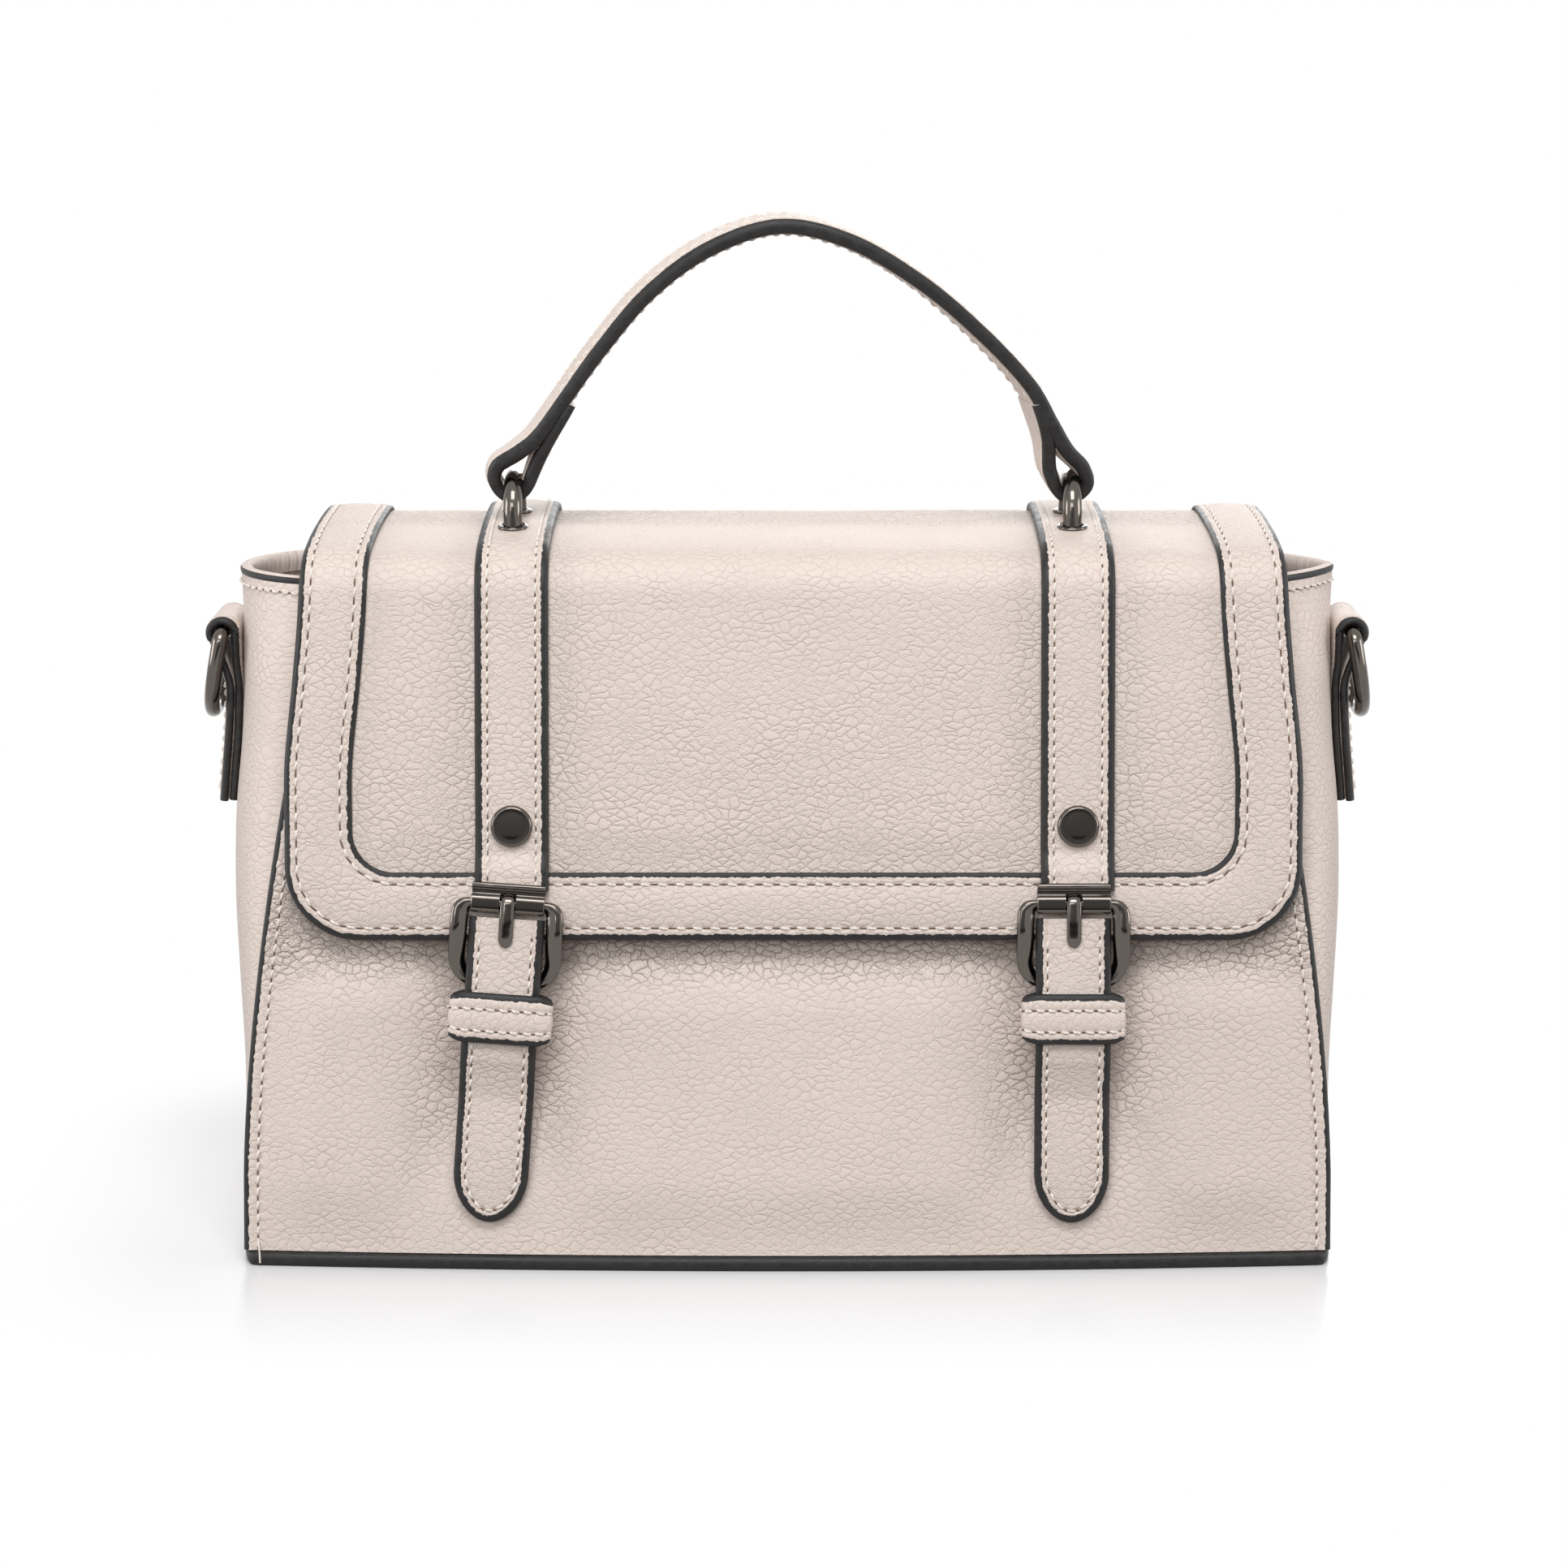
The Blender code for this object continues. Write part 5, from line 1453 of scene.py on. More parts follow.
def make_trim(course):
    """The border strip round the flap, whose outer paint also covers the layers below it."""
    pairs = trim_pairs(course, 0.0007)
    outer = [pair[0] for pair in pairs]
    inner = [pair[1] for pair in pairs]
    drop = FLAP_THICK + 2.0 * LAYER_GAP + LINING_THICK + 0.0002
    borders = (Border(OUTER_PAINT, drop=drop, row=OUTER_ROW), Border(INNER_PAINT, row=INNER_ROW))

    def swell(x, v):
        return 0.00018 * noise.noise(Vector((x * 60.0, v * 60.0, 33.0)))

    piece = strip("flap_border", outer, inner, course.place, TRIM_THICK, borders,
                  leather_set(), 10, crown=0.00035, base=lambda x, v: LAYER_GAP,
                  seed=23.0, swell=swell, crumple=lambda x, v: 0.10)
    settle(piece, "flap", "leather", "flap_trim")
    seam = Seam(29.0)
    out = LAYER_GAP + TRIM_THICK - 0.00008
    pitch = sewing().trim_pitch
    seam.row(inset_line(outer, inner, OUTER_ROW), course.place, out, pitch, fill=BORDER_FILL)
    seam.row(inset_line(inner, outer, INNER_ROW), course.place, out, pitch, fill=BORDER_FILL)
    seam.make("border_stitching", "flap")


STRAP_PAINT = 0.0015
STRAP_ROW = 0.0031
STRAP_PITCH = 0.0030
STATION_STEP = 0.0006


def make_upper_straps():
    """The two straps sewn over the flap, each stepping up over the border near its lower end."""
    course = flap_course()
    start = TRIM_START + 0.0004
    end = course.at_height(AXIS_Z) - 0.0033
    step_from = course.at_height(STEP_HIGH_Z)
    step_to = course.at_height(STEP_LOW_Z)
    rise = TRIM_THICK + LAYER_GAP

    def base(x, v):
        return LAYER_GAP + rise * smooth_step(step_from, step_to, v)

    def height(x, v):
        return base(x, v) + UPPER_THICK - 0.0003

    stations = spread(start, end, STATION_STEP)
    border = Border(STRAP_PAINT, row=STRAP_ROW)
    for side, sign in SIDES:
        centre = STRAP_X[side] - FLAP_CENTRE
        left, right = even_edges(centre - UPPER_HALF, centre + UPPER_HALF, stations)
        piece = strip(side + "_upper_strap_leather", left, right, course.place, UPPER_THICK - 0.0002,
                      (border, border), leather_set(), 10, crown=0.0003, base=base,
                      seed=37.0 + sign, crumple=lambda x, v: 0.10 * smooth_step(0.03, 0.06, v))
        settle(piece, "flap", "leather", side + "_upper_strap")
        seam = Seam(43.0 + sign)
        seam.both_rows(left, right, STRAP_ROW, course.place, height, STRAP_PITCH)
        seam.make(side + "_upper_strap_stitching", "flap")


HANDLE_THICK = 0.0030
HANDLE_PAINT = 0.0012
HANDLE_ROW = 0.0026
HANDLE_PITCH = 0.0034
HANDLE_ROW_LIFT = 0.00004
CUP_RADIUS = 0.0056
CUP_REACH = 0.0053
CUP_LOW_Z = 0.184
CUP_HIGH_Z = 0.191
ARCH_Z = 0.208
HANDLE_FRONT = 0.004


def handle_half(z):
    """Half the handle's width, which narrows towards the staples."""
    return 0.5 * (HANDLE_END_WIDTH + (HANDLE_WIDTH - HANDLE_END_WIDTH) * smooth_step(0.187, 0.203, z))


def make_handle():
    """The handle: one long strap that loops round each staple and folds back inside itself."""
    axis = Vector((0.0, STAPLE_Y, STAPLE_TOP - STAPLE_WIRE - STAPLE_RADIUS))
    lean = Matrix.Translation(axis) @ Matrix.Rotation(HANDLE_LEAN, 4, "X") @ Matrix.Translation(-axis)
    table = smooth_line([Vector(row) * MM for row in HANDLE_LINE], 12)
    course = Course([Vector((x, STAPLE_Y, z)) for x, z, thick in table], Vector((0.0, 1.0, 0.0)))

    def place(y, v, out):
        k, u = course.span(v)
        thick = table[k].z + (table[k + 1].z - table[k].z) * u
        spot = course.place(y, v, (out - HANDLE_THICK) * thick / HANDLE_THICK)
        low = 1.0 - smooth_step(CUP_LOW_Z, CUP_HIGH_Z, course.place(0.0, v, 0.0).z)
        drop = low * (CUP_RADIUS - math.sqrt(CUP_RADIUS ** 2 - min(abs(y), CUP_REACH) ** 2))
        twist = (0.17 + 0.13 * smooth_step(0.0, 0.06, spot.x)) * (1.0 - 0.7 * low)
        return lean @ (spot - Vector((twist * (y + HANDLE_FRONT), 0.0, drop)))

    stations = spread(0.0, course.length, 0.0008)
    halves = [handle_half(course.place(0.0, v, 0.0).z) for v in stations]
    left = [(-half, v) for half, v in zip(halves, stations)]
    right = [(half, v) for half, v in zip(halves, stations)]
    border = Border(HANDLE_PAINT)
    piece = strip("handle_strap", left, right, place, HANDLE_THICK, (border, border),
                  leather_set("handle_leather", "handle_leather"), 8, crown=0.0002, double=True,
                  seed=51.0, cap=FACE)
    settle(piece, "handle", "leather", "handle")
    seam = Seam(53.0)
    quarter = 0.25 * course.length
    arch = [i for i, v in enumerate(stations)
            if course.place(0.0, v, 0.0).z > ARCH_Z and quarter * 0.5 < v < quarter * 3.5]
    for edge, other in ((left, right), (right, left)):
        inset = inset_line(edge, other, HANDLE_ROW)
        line = [inset[i] for i in arch]
        seam.row(line, place, HANDLE_THICK + HANDLE_ROW_LIFT, HANDLE_PITCH)
        seam.row(line, place, -HANDLE_ROW_LIFT, HANDLE_PITCH, facing=-1.0)
    seam.make("handle_stitching", "handle")


LOWER_ROW = 0.0028
LOWER_PITCH = 0.0031
KEEPER_ROW_TOP = 0.0040
KEEPER_ROW_LOW = 0.0030
LOWER_ROW_START = 0.0045
KEEPER_HALF = 0.0124
KEEPER_PINCH = 0.0008
KEEPER_LOW_D = -0.0028
KEEPER_HIGH_D = 0.0037
KEEPER_THICK = 0.0019
KEEPER_TOP_PAINT = 0.0013
KEEPER_LOW_PAINT = 0.0011
KEEPER_ROUND = 3.6
KEEPER_PITCH = 0.0029


def make_lower_strap(side, sign, place):
    """The pointed strap that passes through the buckle and hangs on the front."""
    points = smooth_line([place @ Vector((0.0, t * MM, d * MM)) for t, d in LOWER_LINE], 6)
    across = place.to_3x3() @ Vector((1.0, 0.0, 0.0))
    course = Course(points, across)
    start = course.length - (POINT_END - POINT_START)
    stations = spread(0.0, start, STATION_STEP)[:-1]
    turns = 34
    for i in range(turns + 1):
        stations.append(start + (course.length - start) * math.sin(0.5 * math.pi * i / turns))
    right = []
    for v in stations:
        share = max(0.0, (v - start) / (course.length - start))
        right.append((LOWER_HALF * max(0.0, 1.0 - share ** POINT_ROUND) ** (1.0 / POINT_ROUND), v))
    left = [(-x, v) for x, v in right]
    border = Border(STRAP_PAINT, row=LOWER_ROW)
    piece = strip(side + "_lower_strap_leather", left, right, course.place, LOWER_THICK,
                  (border, border), leather_set(), 10, crown=0.0003, base=lambda x, v: -0.5 * LOWER_THICK,
                  double=True, pointed=True, seed=57.0 + sign, crumple=lambda x, v: 0.08)
    settle(piece, side + "_strap_end", "leather", side + "_lower_strap")
    seam = Seam(61.0 + sign)
    rows = inset_line(left, right, LOWER_ROW, pointed=True)
    rows += list(reversed(inset_line(right, left, LOWER_ROW, pointed=True)))[1:]
    rows = [point for point in rows if point[1] > LOWER_ROW_START]
    seam.row(rows, course.place, 0.5 * LOWER_THICK - 0.0001, LOWER_PITCH)
    seam.make(side + "_lower_strap_stitching", side + "_strap_end")


def make_keeper(side, sign, place):
    """The sewn loop that holds the strap below the buckle."""
    middle = 0.5 * (KEEPER_LOW_D + KEEPER_HIGH_D)
    high = 0.5 * (KEEPER_HIGH_D - KEEPER_LOW_D)
    points = []
    steps = 120
    for i in range(steps):
        angle = 2.0 * math.pi * i / steps
        x = KEEPER_HALF * math.copysign(abs(math.cos(angle)) ** (2.0 / KEEPER_ROUND), math.cos(angle))
        d = high * math.copysign(abs(math.sin(angle)) ** (2.0 / KEEPER_ROUND), math.sin(angle))
        points.append(place @ Vector((x, KEEPER_TOP, middle + d)))
    down = place.to_3x3() @ Vector((0.0, -1.0, 0.0))
    centre = place @ Vector((0.0, KEEPER_TOP, middle))
    course = Course(points, down, closed=True)
    if course.normals[0].dot(points[0] - centre) < 0.0:
        course = Course(points, down, closed=True, flip=True)
    height = KEEPER_TOP - KEEPER_BOTTOM
    across = place.to_3x3() @ Vector((1.0, 0.0, 0.0))

    def pinched(x, v, out):
        """A point of the keeper, whose edges draw together where it turns back at its sides."""
        spot = course.place(x, v, out)
        off = abs((spot - centre).dot(across)) / KEEPER_HALF
        return spot + down * (KEEPER_PINCH * smooth_step(0.72, 1.0, off) * (1.0 - 2.0 * x / height))

    left, right = even_edges(0.0, height, spread(0.0, course.length, STATION_STEP)[:-1])
    borders = (Border(KEEPER_TOP_PAINT, row=KEEPER_ROW_TOP),
               Border(KEEPER_LOW_PAINT, row=KEEPER_ROW_LOW))
    piece = strip(side + "_keeper_leather", left, right, pinched, KEEPER_THICK, borders,
                  leather_set(), 5, crown=0.00015, base=lambda x, v: -KEEPER_THICK, closed=True,
                  seed=67.0 + sign)
    settle(piece, side + "_strap_end", "leather", side + "_keeper")
    seam = Seam(71.0 + sign)
    for x in (KEEPER_ROW_TOP, height - KEEPER_ROW_LOW):
        line = [(x, v) for v in spread(0.0, course.length * 0.9995, STATION_STEP)]
        seam.row(line, pinched, 0.0, KEEPER_PITCH)
    seam.make(side + "_keeper_stitching", side + "_strap_end")


TAB_THICK = 0.0043
TAB_STRAP = 0.0020
TAB_LOOP = 0.0041
TAB_PAINT = 0.0012
TAB_LEVELS = (TAB_BOTTOM, 0.115, 0.125, 0.137)
TAB_ROW = 0.0025
# The sewn box below the tab's loop, as distances up from the end of the strap
TAB_STITCH_LOW = 0.0026
TAB_STITCH_HIGH = 0.0285


def make_tabs():
    """The folded straps sewn to the gussets, each with a loop at its top for the D-ring."""
    for side, sign in SIDES:
        inner = [(read_table(GUSSET_SIDE, z) + 0.0003, z) for z in TAB_LEVELS]
        outer = [(x + TAB_THICK, z) for x, z in reversed(inner)]
        outline = inner + arc(TAB_AXIS, TAB_LOOP, 180.0, -225.0, 16) + outer
        points = smooth_line([Vector((sign * x, 0.0, z)) for x, z in outline], 4)
        course = Course(points, Vector((0.0, 1.0, 0.0)), flip=sign < 0.0)

        def place(x, v, out):
            """A point of the tab, which bends round the gusset below its loop."""
            spot = course.place(x, v, out)
            bend = 0.0009 * (x / TAB_HALF) ** 2 * (1.0 - smooth_step(0.134, 0.143, spot.z))
            return spot - Vector((sign * bend, 0.0, 0.0))

        left, right = even_edges(-TAB_HALF, TAB_HALF, spread(0.0, course.length, 0.0007))
        border = Border(TAB_PAINT, row=TAB_ROW)
        piece = strip(side + "_tab_strap", left, right, place, TAB_STRAP, (border, border),
                      leather_set(), 8, base=lambda x, v: -TAB_STRAP, double=True, seed=73.0 + sign,
                      crumple=lambda x, v: 0.1)
        settle(piece, "bag", "leather", side + "_tab")
        seam = Seam(79.0 + sign)
        low = course.length - TAB_STITCH_LOW
        high = course.length - TAB_STITCH_HIGH
        reach = TAB_HALF - TAB_ROW
        for x in (-reach, reach):
            seam.row([(x, v) for v in spread(high, low, 0.001)], place, 0.0, STRAP_PITCH)
        for v in (high, low):
            line = [(x, v) for x in spread(-reach, reach, 0.001)]
            seam.row(line, place, 0.00012, STRAP_PITCH)
        seam.make(side + "_tab_stitching", "bag")


def make_rings():
    """The D-rings in the side tabs."""
    corner = RING_HALF - RING_CORNER
    path = arc((corner, -RING_CORNER), RING_CORNER, 90.0, -90.0, 8)
    path += arc((0.0, -RING_SIDE), RING_HALF, 0.0, -180.0, 48)
    path += arc((-corner, -RING_CORNER), RING_CORNER, 180.0, -90.0, 8)
    path += [(y, 0.0) for y in spread(-corner, corner, 0.002)[1:-1]]
    line = [Vector((0.0, y, z)) for y, z in path]
    for side, sign in SIDES:
        axis = Vector((sign * TAB_AXIS[0], 0.0, TAB_AXIS[1]))
        lean = Matrix.Translation(axis) @ Matrix.Rotation(-sign * RING_LEAN, 4, "Y")
        piece = tube(side + "_d_ring_wire", line, Vector((1.0, 0.0, 0.0)), RING_WIRE, RING_WIRE,
                     finish_of("gunmetal"), closed=True, place=lean)
        settle(piece, side + "_ring", "gunmetal", side + "_d_ring")


WASHER_INNER = 0.0024
WASHER_OUTER = 0.00375
WASHER_HIGH = 0.0010
WASHER_RISE = 0.0027
FRONT_WASHER_TILT = math.radians(6.0)


def washer_rings(place):
    """The rings of points of a washer with a round section."""
    middle = 0.5 * (WASHER_INNER + WASHER_OUTER)
    half = 0.5 * (WASHER_OUTER - WASHER_INNER)
    rings = []
    for c, s in circle(48):
        ring = []
        for across, up in circle(12):
            radius = middle + half * across
            rise = 0.5 * WASHER_HIGH * (1.0 + up)
            ring.append(place @ Vector((radius * c, radius * s, rise)))
        rings.append(ring)
    return rings


def make_staples():
    """The wire arches that carry the handle, with a rounded washer round each leg."""
    course = flap_course()
    arch_z = STAPLE_TOP - STAPLE_WIRE - STAPLE_RADIUS
    for side, sign in SIDES:
        x = STAPLE_X[side]
        feet = []
        for way in (-1.0, 1.0):
            y = STAPLE_Y + way * STAPLE_RADIUS
            top = next(p.z for p in course.points if p.y <= y)
            feet.append(Vector((x, y, top)))
        bend = [Vector((x, y, z)) for y, z in arc((STAPLE_Y, arch_z), STAPLE_RADIUS, 180.0, -180.0, 40)]
        path = [feet[0]] + bend + [feet[1]]
        wire = tube(side + "_staple_wire", path, Vector((1.0, 0.0, 0.0)), STAPLE_WIRE, STAPLE_WIRE,
                    finish_of("gunmetal"), sides=32)
        settle(wire, "flap", "gunmetal", side + "_staple")
        for foot, where, tilt in zip(feet, ("front", "rear"), (FRONT_WASHER_TILT, 0.0)):
            raised = Matrix.Translation(foot + Vector((0.0, 0.0, WASHER_RISE)))
            rings = washer_rings(raised @ Matrix.Rotation(tilt, 4, "X"))
            name = side + "_" + where + "_washer"
            washer = skin(name + "_ring", rings, finish_of("gunmetal"), closed=True)
            settle(washer, "flap", "gunmetal", name)


RIVET_PROFILE = ((0.0001, 0.0024), (0.0047, 0.0024), (0.0050, 0.0028), (0.00505, 0.0034),
                 (0.00500, 0.0039), (0.0048, 0.0043), (0.0045, 0.00455), (0.0042, 0.00460),
                 (0.00395, 0.00452), (0.0030, 0.00462), (0.0018, 0.00470), (0.0001, 0.00472))


def make_rivets():
    """The flat rivet caps, with a rounded rim and a faint dish inside it."""
    course = flap_course()
    height = course.at_height(RIVET_Z)
    for side, sign in SIDES:
        place = slope_frame(course.place(STRAP_X[side] - FLAP_CENTRE, height, 0.0))
        piece = turned(side + "_rivet_cap", RIVET_PROFILE, finish_of("gunmetal"), place)
        settle(piece, "flap", "gunmetal", side + "_rivet")


CLAMP_LINE = ((-2.0, -1.6), (-2.0, 1.6), (-1.3, 2.4), (1.6, 2.4), (2.3, 1.9), (2.3, 0.6), (3.9, 0.6),
              (3.9, 1.2), (4.3, 1.6), (4.9, 1.6), (5.3, 1.2), (5.3, -0.5), (2.3, -0.5), (2.3, -1.6),
              (1.6, -2.3), (-1.3, -2.3))
# The half width, the top and the depth of the slot for the prong
CLAMP_SLOT = (0.0020, 0.00285, 0.006)
CLAMP_ROUND = 0.35
CLAMP_MIDDLE = Vector((1.3, 0.3))
CLAMP_BEVEL = 0.00018
CLAMP_END_SIZE = 0.93


def rounded_outline(outline, radius, steps=3):
    """A closed outline with each corner rounded."""
    points = []
    count = len(outline)
    for i in range(count):
        corner = Vector(outline[i])
        before = Vector(outline[i - 1]) - corner
        after = Vector(outline[(i + 1) % count]) - corner
        reach = min(radius, 0.4 * before.length, 0.4 * after.length)
        start = corner + before.normalized() * reach
        end = corner + after.normalized() * reach
        for k in range(steps + 1):
            u = k / steps
            points.append(start * (1 - u) ** 2 + corner * (2 * u * (1 - u)) + end * u ** 2)
    return points


def box_mesh(name, place, low, high):
    """A plain box, used only to cut a slot."""
    rings = []
    for x in (low[0], high[0]):
        corners = ((low[1], low[2]), (high[1], low[2]), (high[1], high[2]), (low[1], high[2]))
        rings.append([place @ Vector((x, t, d)) for t, d in corners])
    return skin(name, rings, finish_of("gunmetal"))


def make_clamp(side, place):
    """The folded clip at the strap's end, with a slot for the prong's hook."""
    outline = rounded_outline(CLAMP_LINE, CLAMP_ROUND)
    rings = []
    for x, size in ((-CLAMP_HALF, CLAMP_END_SIZE), (-CLAMP_HALF + CLAMP_BEVEL, 1.0),
                    (CLAMP_HALF - CLAMP_BEVEL, 1.0), (CLAMP_HALF, CLAMP_END_SIZE)):
        ring = [CLAMP_MIDDLE + (point - CLAMP_MIDDLE) * size for point in outline]
        rings.append([place @ Vector((x, point.x * MM, point.y * MM)) for point in ring])
    clamp = skin(side + "_clamp_clip", rings, finish_of("gunmetal"))
    half, top, deep = CLAMP_SLOT
    cutter = box_mesh("slot", place, (-half, -deep, -deep), (half, top, deep))
    cut = clamp.modifiers.new("slot", "BOOLEAN")
    cut.operation = "DIFFERENCE"
    cut.object = cutter
    shape = clamp.evaluated_get(bpy.context.evaluated_depsgraph_get())
    mesh = bpy.data.meshes.new_from_object(shape)
    clamp.modifiers.clear()
    clamp.data = mesh
    mesh.set_sharp_from_angle(angle=math.radians(35.0))
    bpy.data.objects.remove(cutter, do_unlink=True)
    settle(clamp, "flap", "gunmetal", side + "_clamp")


FRAME_HALF = 0.0113
FRAME_LOW = -0.0193
FRAME_TOP_CORNER = 0.0025
FRAME_LOW_CORNER = 0.0062
FRAME_SIDE_BOW = 0.00035
FRAME_BAR = 0.0013
FRAME_SIDE = 0.0021
FRAME_DEEP = 0.0012
FRAME_RISE = 0.0010
FRAME_DIVE = 0.0024
# The frame's section from its outer side over the top and back below, as shares of its size
FRAME_SECTION = ((1.0, 0.0), (0.97, 0.45), (0.86, 0.78), (0.62, 0.97), (0.30, 1.0), (0.02, 0.95),
                 (-0.26, 0.72), (-0.56, 0.40), (-0.84, 0.05), (-1.0, -0.35), (-0.88, -0.72),
                 (-0.5, -0.95), (0.0, -1.0), (0.5, -0.95), (0.9, -0.7), (0.99, -0.35))


def frame_height(t):
    """The frame's height along its sides, which bow up and then go down behind the strap."""
    share = t / FRAME_LOW
    return FRAME_RISE * math.sin(math.pi * share) - FRAME_DIVE * smooth_step(0.10, 1.0, share)


def make_buckle_frame(side, place):
    """The bowed ring of the buckle: a bright rounded outer band and a steep inner bevel."""
    middle = 0.5 * FRAME_LOW
    path = []
    for way_x, way_t, corner, start in ((1.0, 1.0, FRAME_TOP_CORNER, 90.0),
                                        (1.0, -1.0, FRAME_LOW_CORNER, 0.0),
                                        (-1.0, -1.0, FRAME_LOW_CORNER, -90.0),
                                        (-1.0, 1.0, FRAME_TOP_CORNER, -180.0)):
        centre = (way_x * (FRAME_HALF - corner), -corner if way_t > 0.0 else FRAME_LOW + corner)
        path += arc(centre, corner, start, -90.0, 12)
        if way_x == way_t:
            low = FRAME_LOW + FRAME_LOW_CORNER
            run = spread(-FRAME_TOP_CORNER, low, 0.001)[1:-1]
            path += [(way_x * FRAME_HALF, t) for t in (run if way_x > 0.0 else reversed(run))]
        else:
            run = spread(FRAME_HALF, -FRAME_HALF, 0.002)[2:-2]
            path += [(x if way_t < 0.0 else -x, FRAME_LOW if way_t < 0.0 else 0.0) for x in run]
    out = Vector((0.0, 0.0, 1.0))
    line = [Vector((x, t, 0.0)) for x, t in path]
    rings = []
    for i, point in enumerate(line):
        along = along_at(line, i, closed=True)
        outward = -along.cross(out)
        corner = FRAME_TOP_CORNER if point.y > middle else FRAME_LOW_CORNER
        broad = smooth_step(FRAME_HALF - corner, FRAME_HALF, abs(point.x))
        wide = FRAME_BAR + (FRAME_SIDE - FRAME_BAR) * broad
        bowed = FRAME_SIDE_BOW * math.sin(math.pi * min(1.0, point.y / FRAME_LOW)) * broad
        centre = Vector((point.x + math.copysign(bowed, point.x), point.y, frame_height(point.y)))
        rings.append([place @ (centre + outward * (s * wide) + out * (h * FRAME_DEEP))
                      for s, h in FRAME_SECTION])
    piece = skin(side + "_buckle_ring", rings, finish_of("gunmetal"), closed=True)
    settle(piece, side + "_strap_end", "gunmetal", side + "_buckle_frame")


PRONG_HALF = 0.00175
PRONG_DEEP = 0.00062
PRONG_HOOK = 0.00215
PRONG_LINE = ((-3.0, 2.35), (-6.4, 2.18), (-8.6, 2.02), (-9.6, 1.92), (-10.1, 1.85))
PRONG_TIP = ((0.0, 0.18), (0.00025, 0.45), (0.0007, 0.72), (0.0013, 0.90), (0.0022, 1.0))


def make_prong(side, place):
    """The buckle's tongue, hooked over the bar and lying on the strap, with a rounded tip."""
    hook = [Vector((0.0, t, d)) for t, d in arc((0.0, 0.0), PRONG_HOOK, -110.0, 200.0, 24)]
    rest = [Vector((0.0, t * MM, d * MM)) for t, d in PRONG_LINE]
    path = hook + smooth_line([hook[-1]] + rest, 10)[1:]
    lengths = lengths_along(path)

    def tip(i):
        """How much of its full size the tongue has at a point."""
        return read_table(PRONG_TIP, lengths[-1] - lengths[i])

    def wide(i):
        return PRONG_HALF * tip(i)

    def deep(i):
        return PRONG_DEEP * max(0.3, tip(i))

    piece = tube(side + "_prong_tongue", path, Vector((1.0, 0.0, 0.0)), wide, deep,
                 finish_of("gunmetal"), sides=28, place=place)
    settle(piece, side + "_prong", "gunmetal", side + "_prong")


CARRIED_NODES = {"left_snap_socket": "gunmetal", "right_snap_socket": "gunmetal",
                 "left_snap_stud": "gunmetal", "right_snap_stud": "gunmetal",
                 "base_board": "fibre_board"}


def dress_carried_nodes():
    """Give the construction's own small pieces, which stay as they are, their finish."""
    for name, finish in CARRIED_NODES.items():
        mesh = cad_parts[name].data
        mesh.materials.clear()
        mesh.materials.append(finish_of(finish))


def lamp(name, size, watts, place, target):
    """A soft square lamp that looks at a point and hides from the camera."""
    data = bpy.data.lights.new(name, "AREA")
    data.shape = "RECTANGLE"
    data.size, data.size_y = size
    data.energy = watts
    made = bpy.data.objects.new(name, data)
    made.location = place
    made.rotation_euler = (Vector(target) - Vector(place)).to_track_quat("-Z", "Y").to_euler()
    made.visible_camera = False
    bpy.context.scene.collection.objects.link(made)


def seen_directly(tree):
    """1 for rays from the camera, a mirror or glass, and 0 for others."""
    path = tree.nodes.new("ShaderNodeLightPath").outputs
    first = math_node(tree, "MAXIMUM", path["Is Camera Ray"], path["Is Glossy Ray"])
    return math_node(tree, "MAXIMUM", first, path["Is Transmission Ray"])


def mix_shaders(tree, share, first, second):
    """Two shaders mixed by a share."""
    inputs = {0: share, 1: first.outputs[0], 2: second.outputs[0]}
    return add_node(tree, "ShaderNodeMixShader", inputs).outputs[0]


WORLD_COLOUR = (1.0, 0.955, 0.92)
FLOOR_COLOUR = (0.80, 0.805, 0.825)
# What the floor throws back up at the bag
FLOOR_BOUNCE = (0.13, 0.12, 0.12)
FLOOR_REACH = 4.0
# The bag's footprint, and how far outside it the floor has gone to white
FOOTPRINT = (0.125, 0.052, 0.0)
FLOOR_FADE = 0.075


def make_world(strength):
    """Even pale light, with a white background."""
    world = bpy.data.worlds.new("studio")
    world.use_nodes = True
    bpy.context.scene.world = world
    tree = world.node_tree
    tree.nodes.clear()
    light = add_node(tree, "ShaderNodeBackground", {"Color": WORLD_COLOUR, "Strength": strength})
    white = add_node(tree, "ShaderNodeBackground", {"Color": (1.0, 1.0, 1.0)})
    shown = mix_shaders(tree, seen_directly(tree), light, white)
    add_node(tree, "ShaderNodeOutputWorld", {"Surface": shown})


def sheet(name, corners, finish):
    """A flat sheet with four corners."""
    mesh = bpy.data.meshes.new(name)
    mesh.from_pydata(corners, [], [(0, 1, 2, 3)])
    mesh.materials.append(finish)
    made = bpy.data.objects.new(name, mesh)
    bpy.context.scene.collection.objects.link(made)
    return made


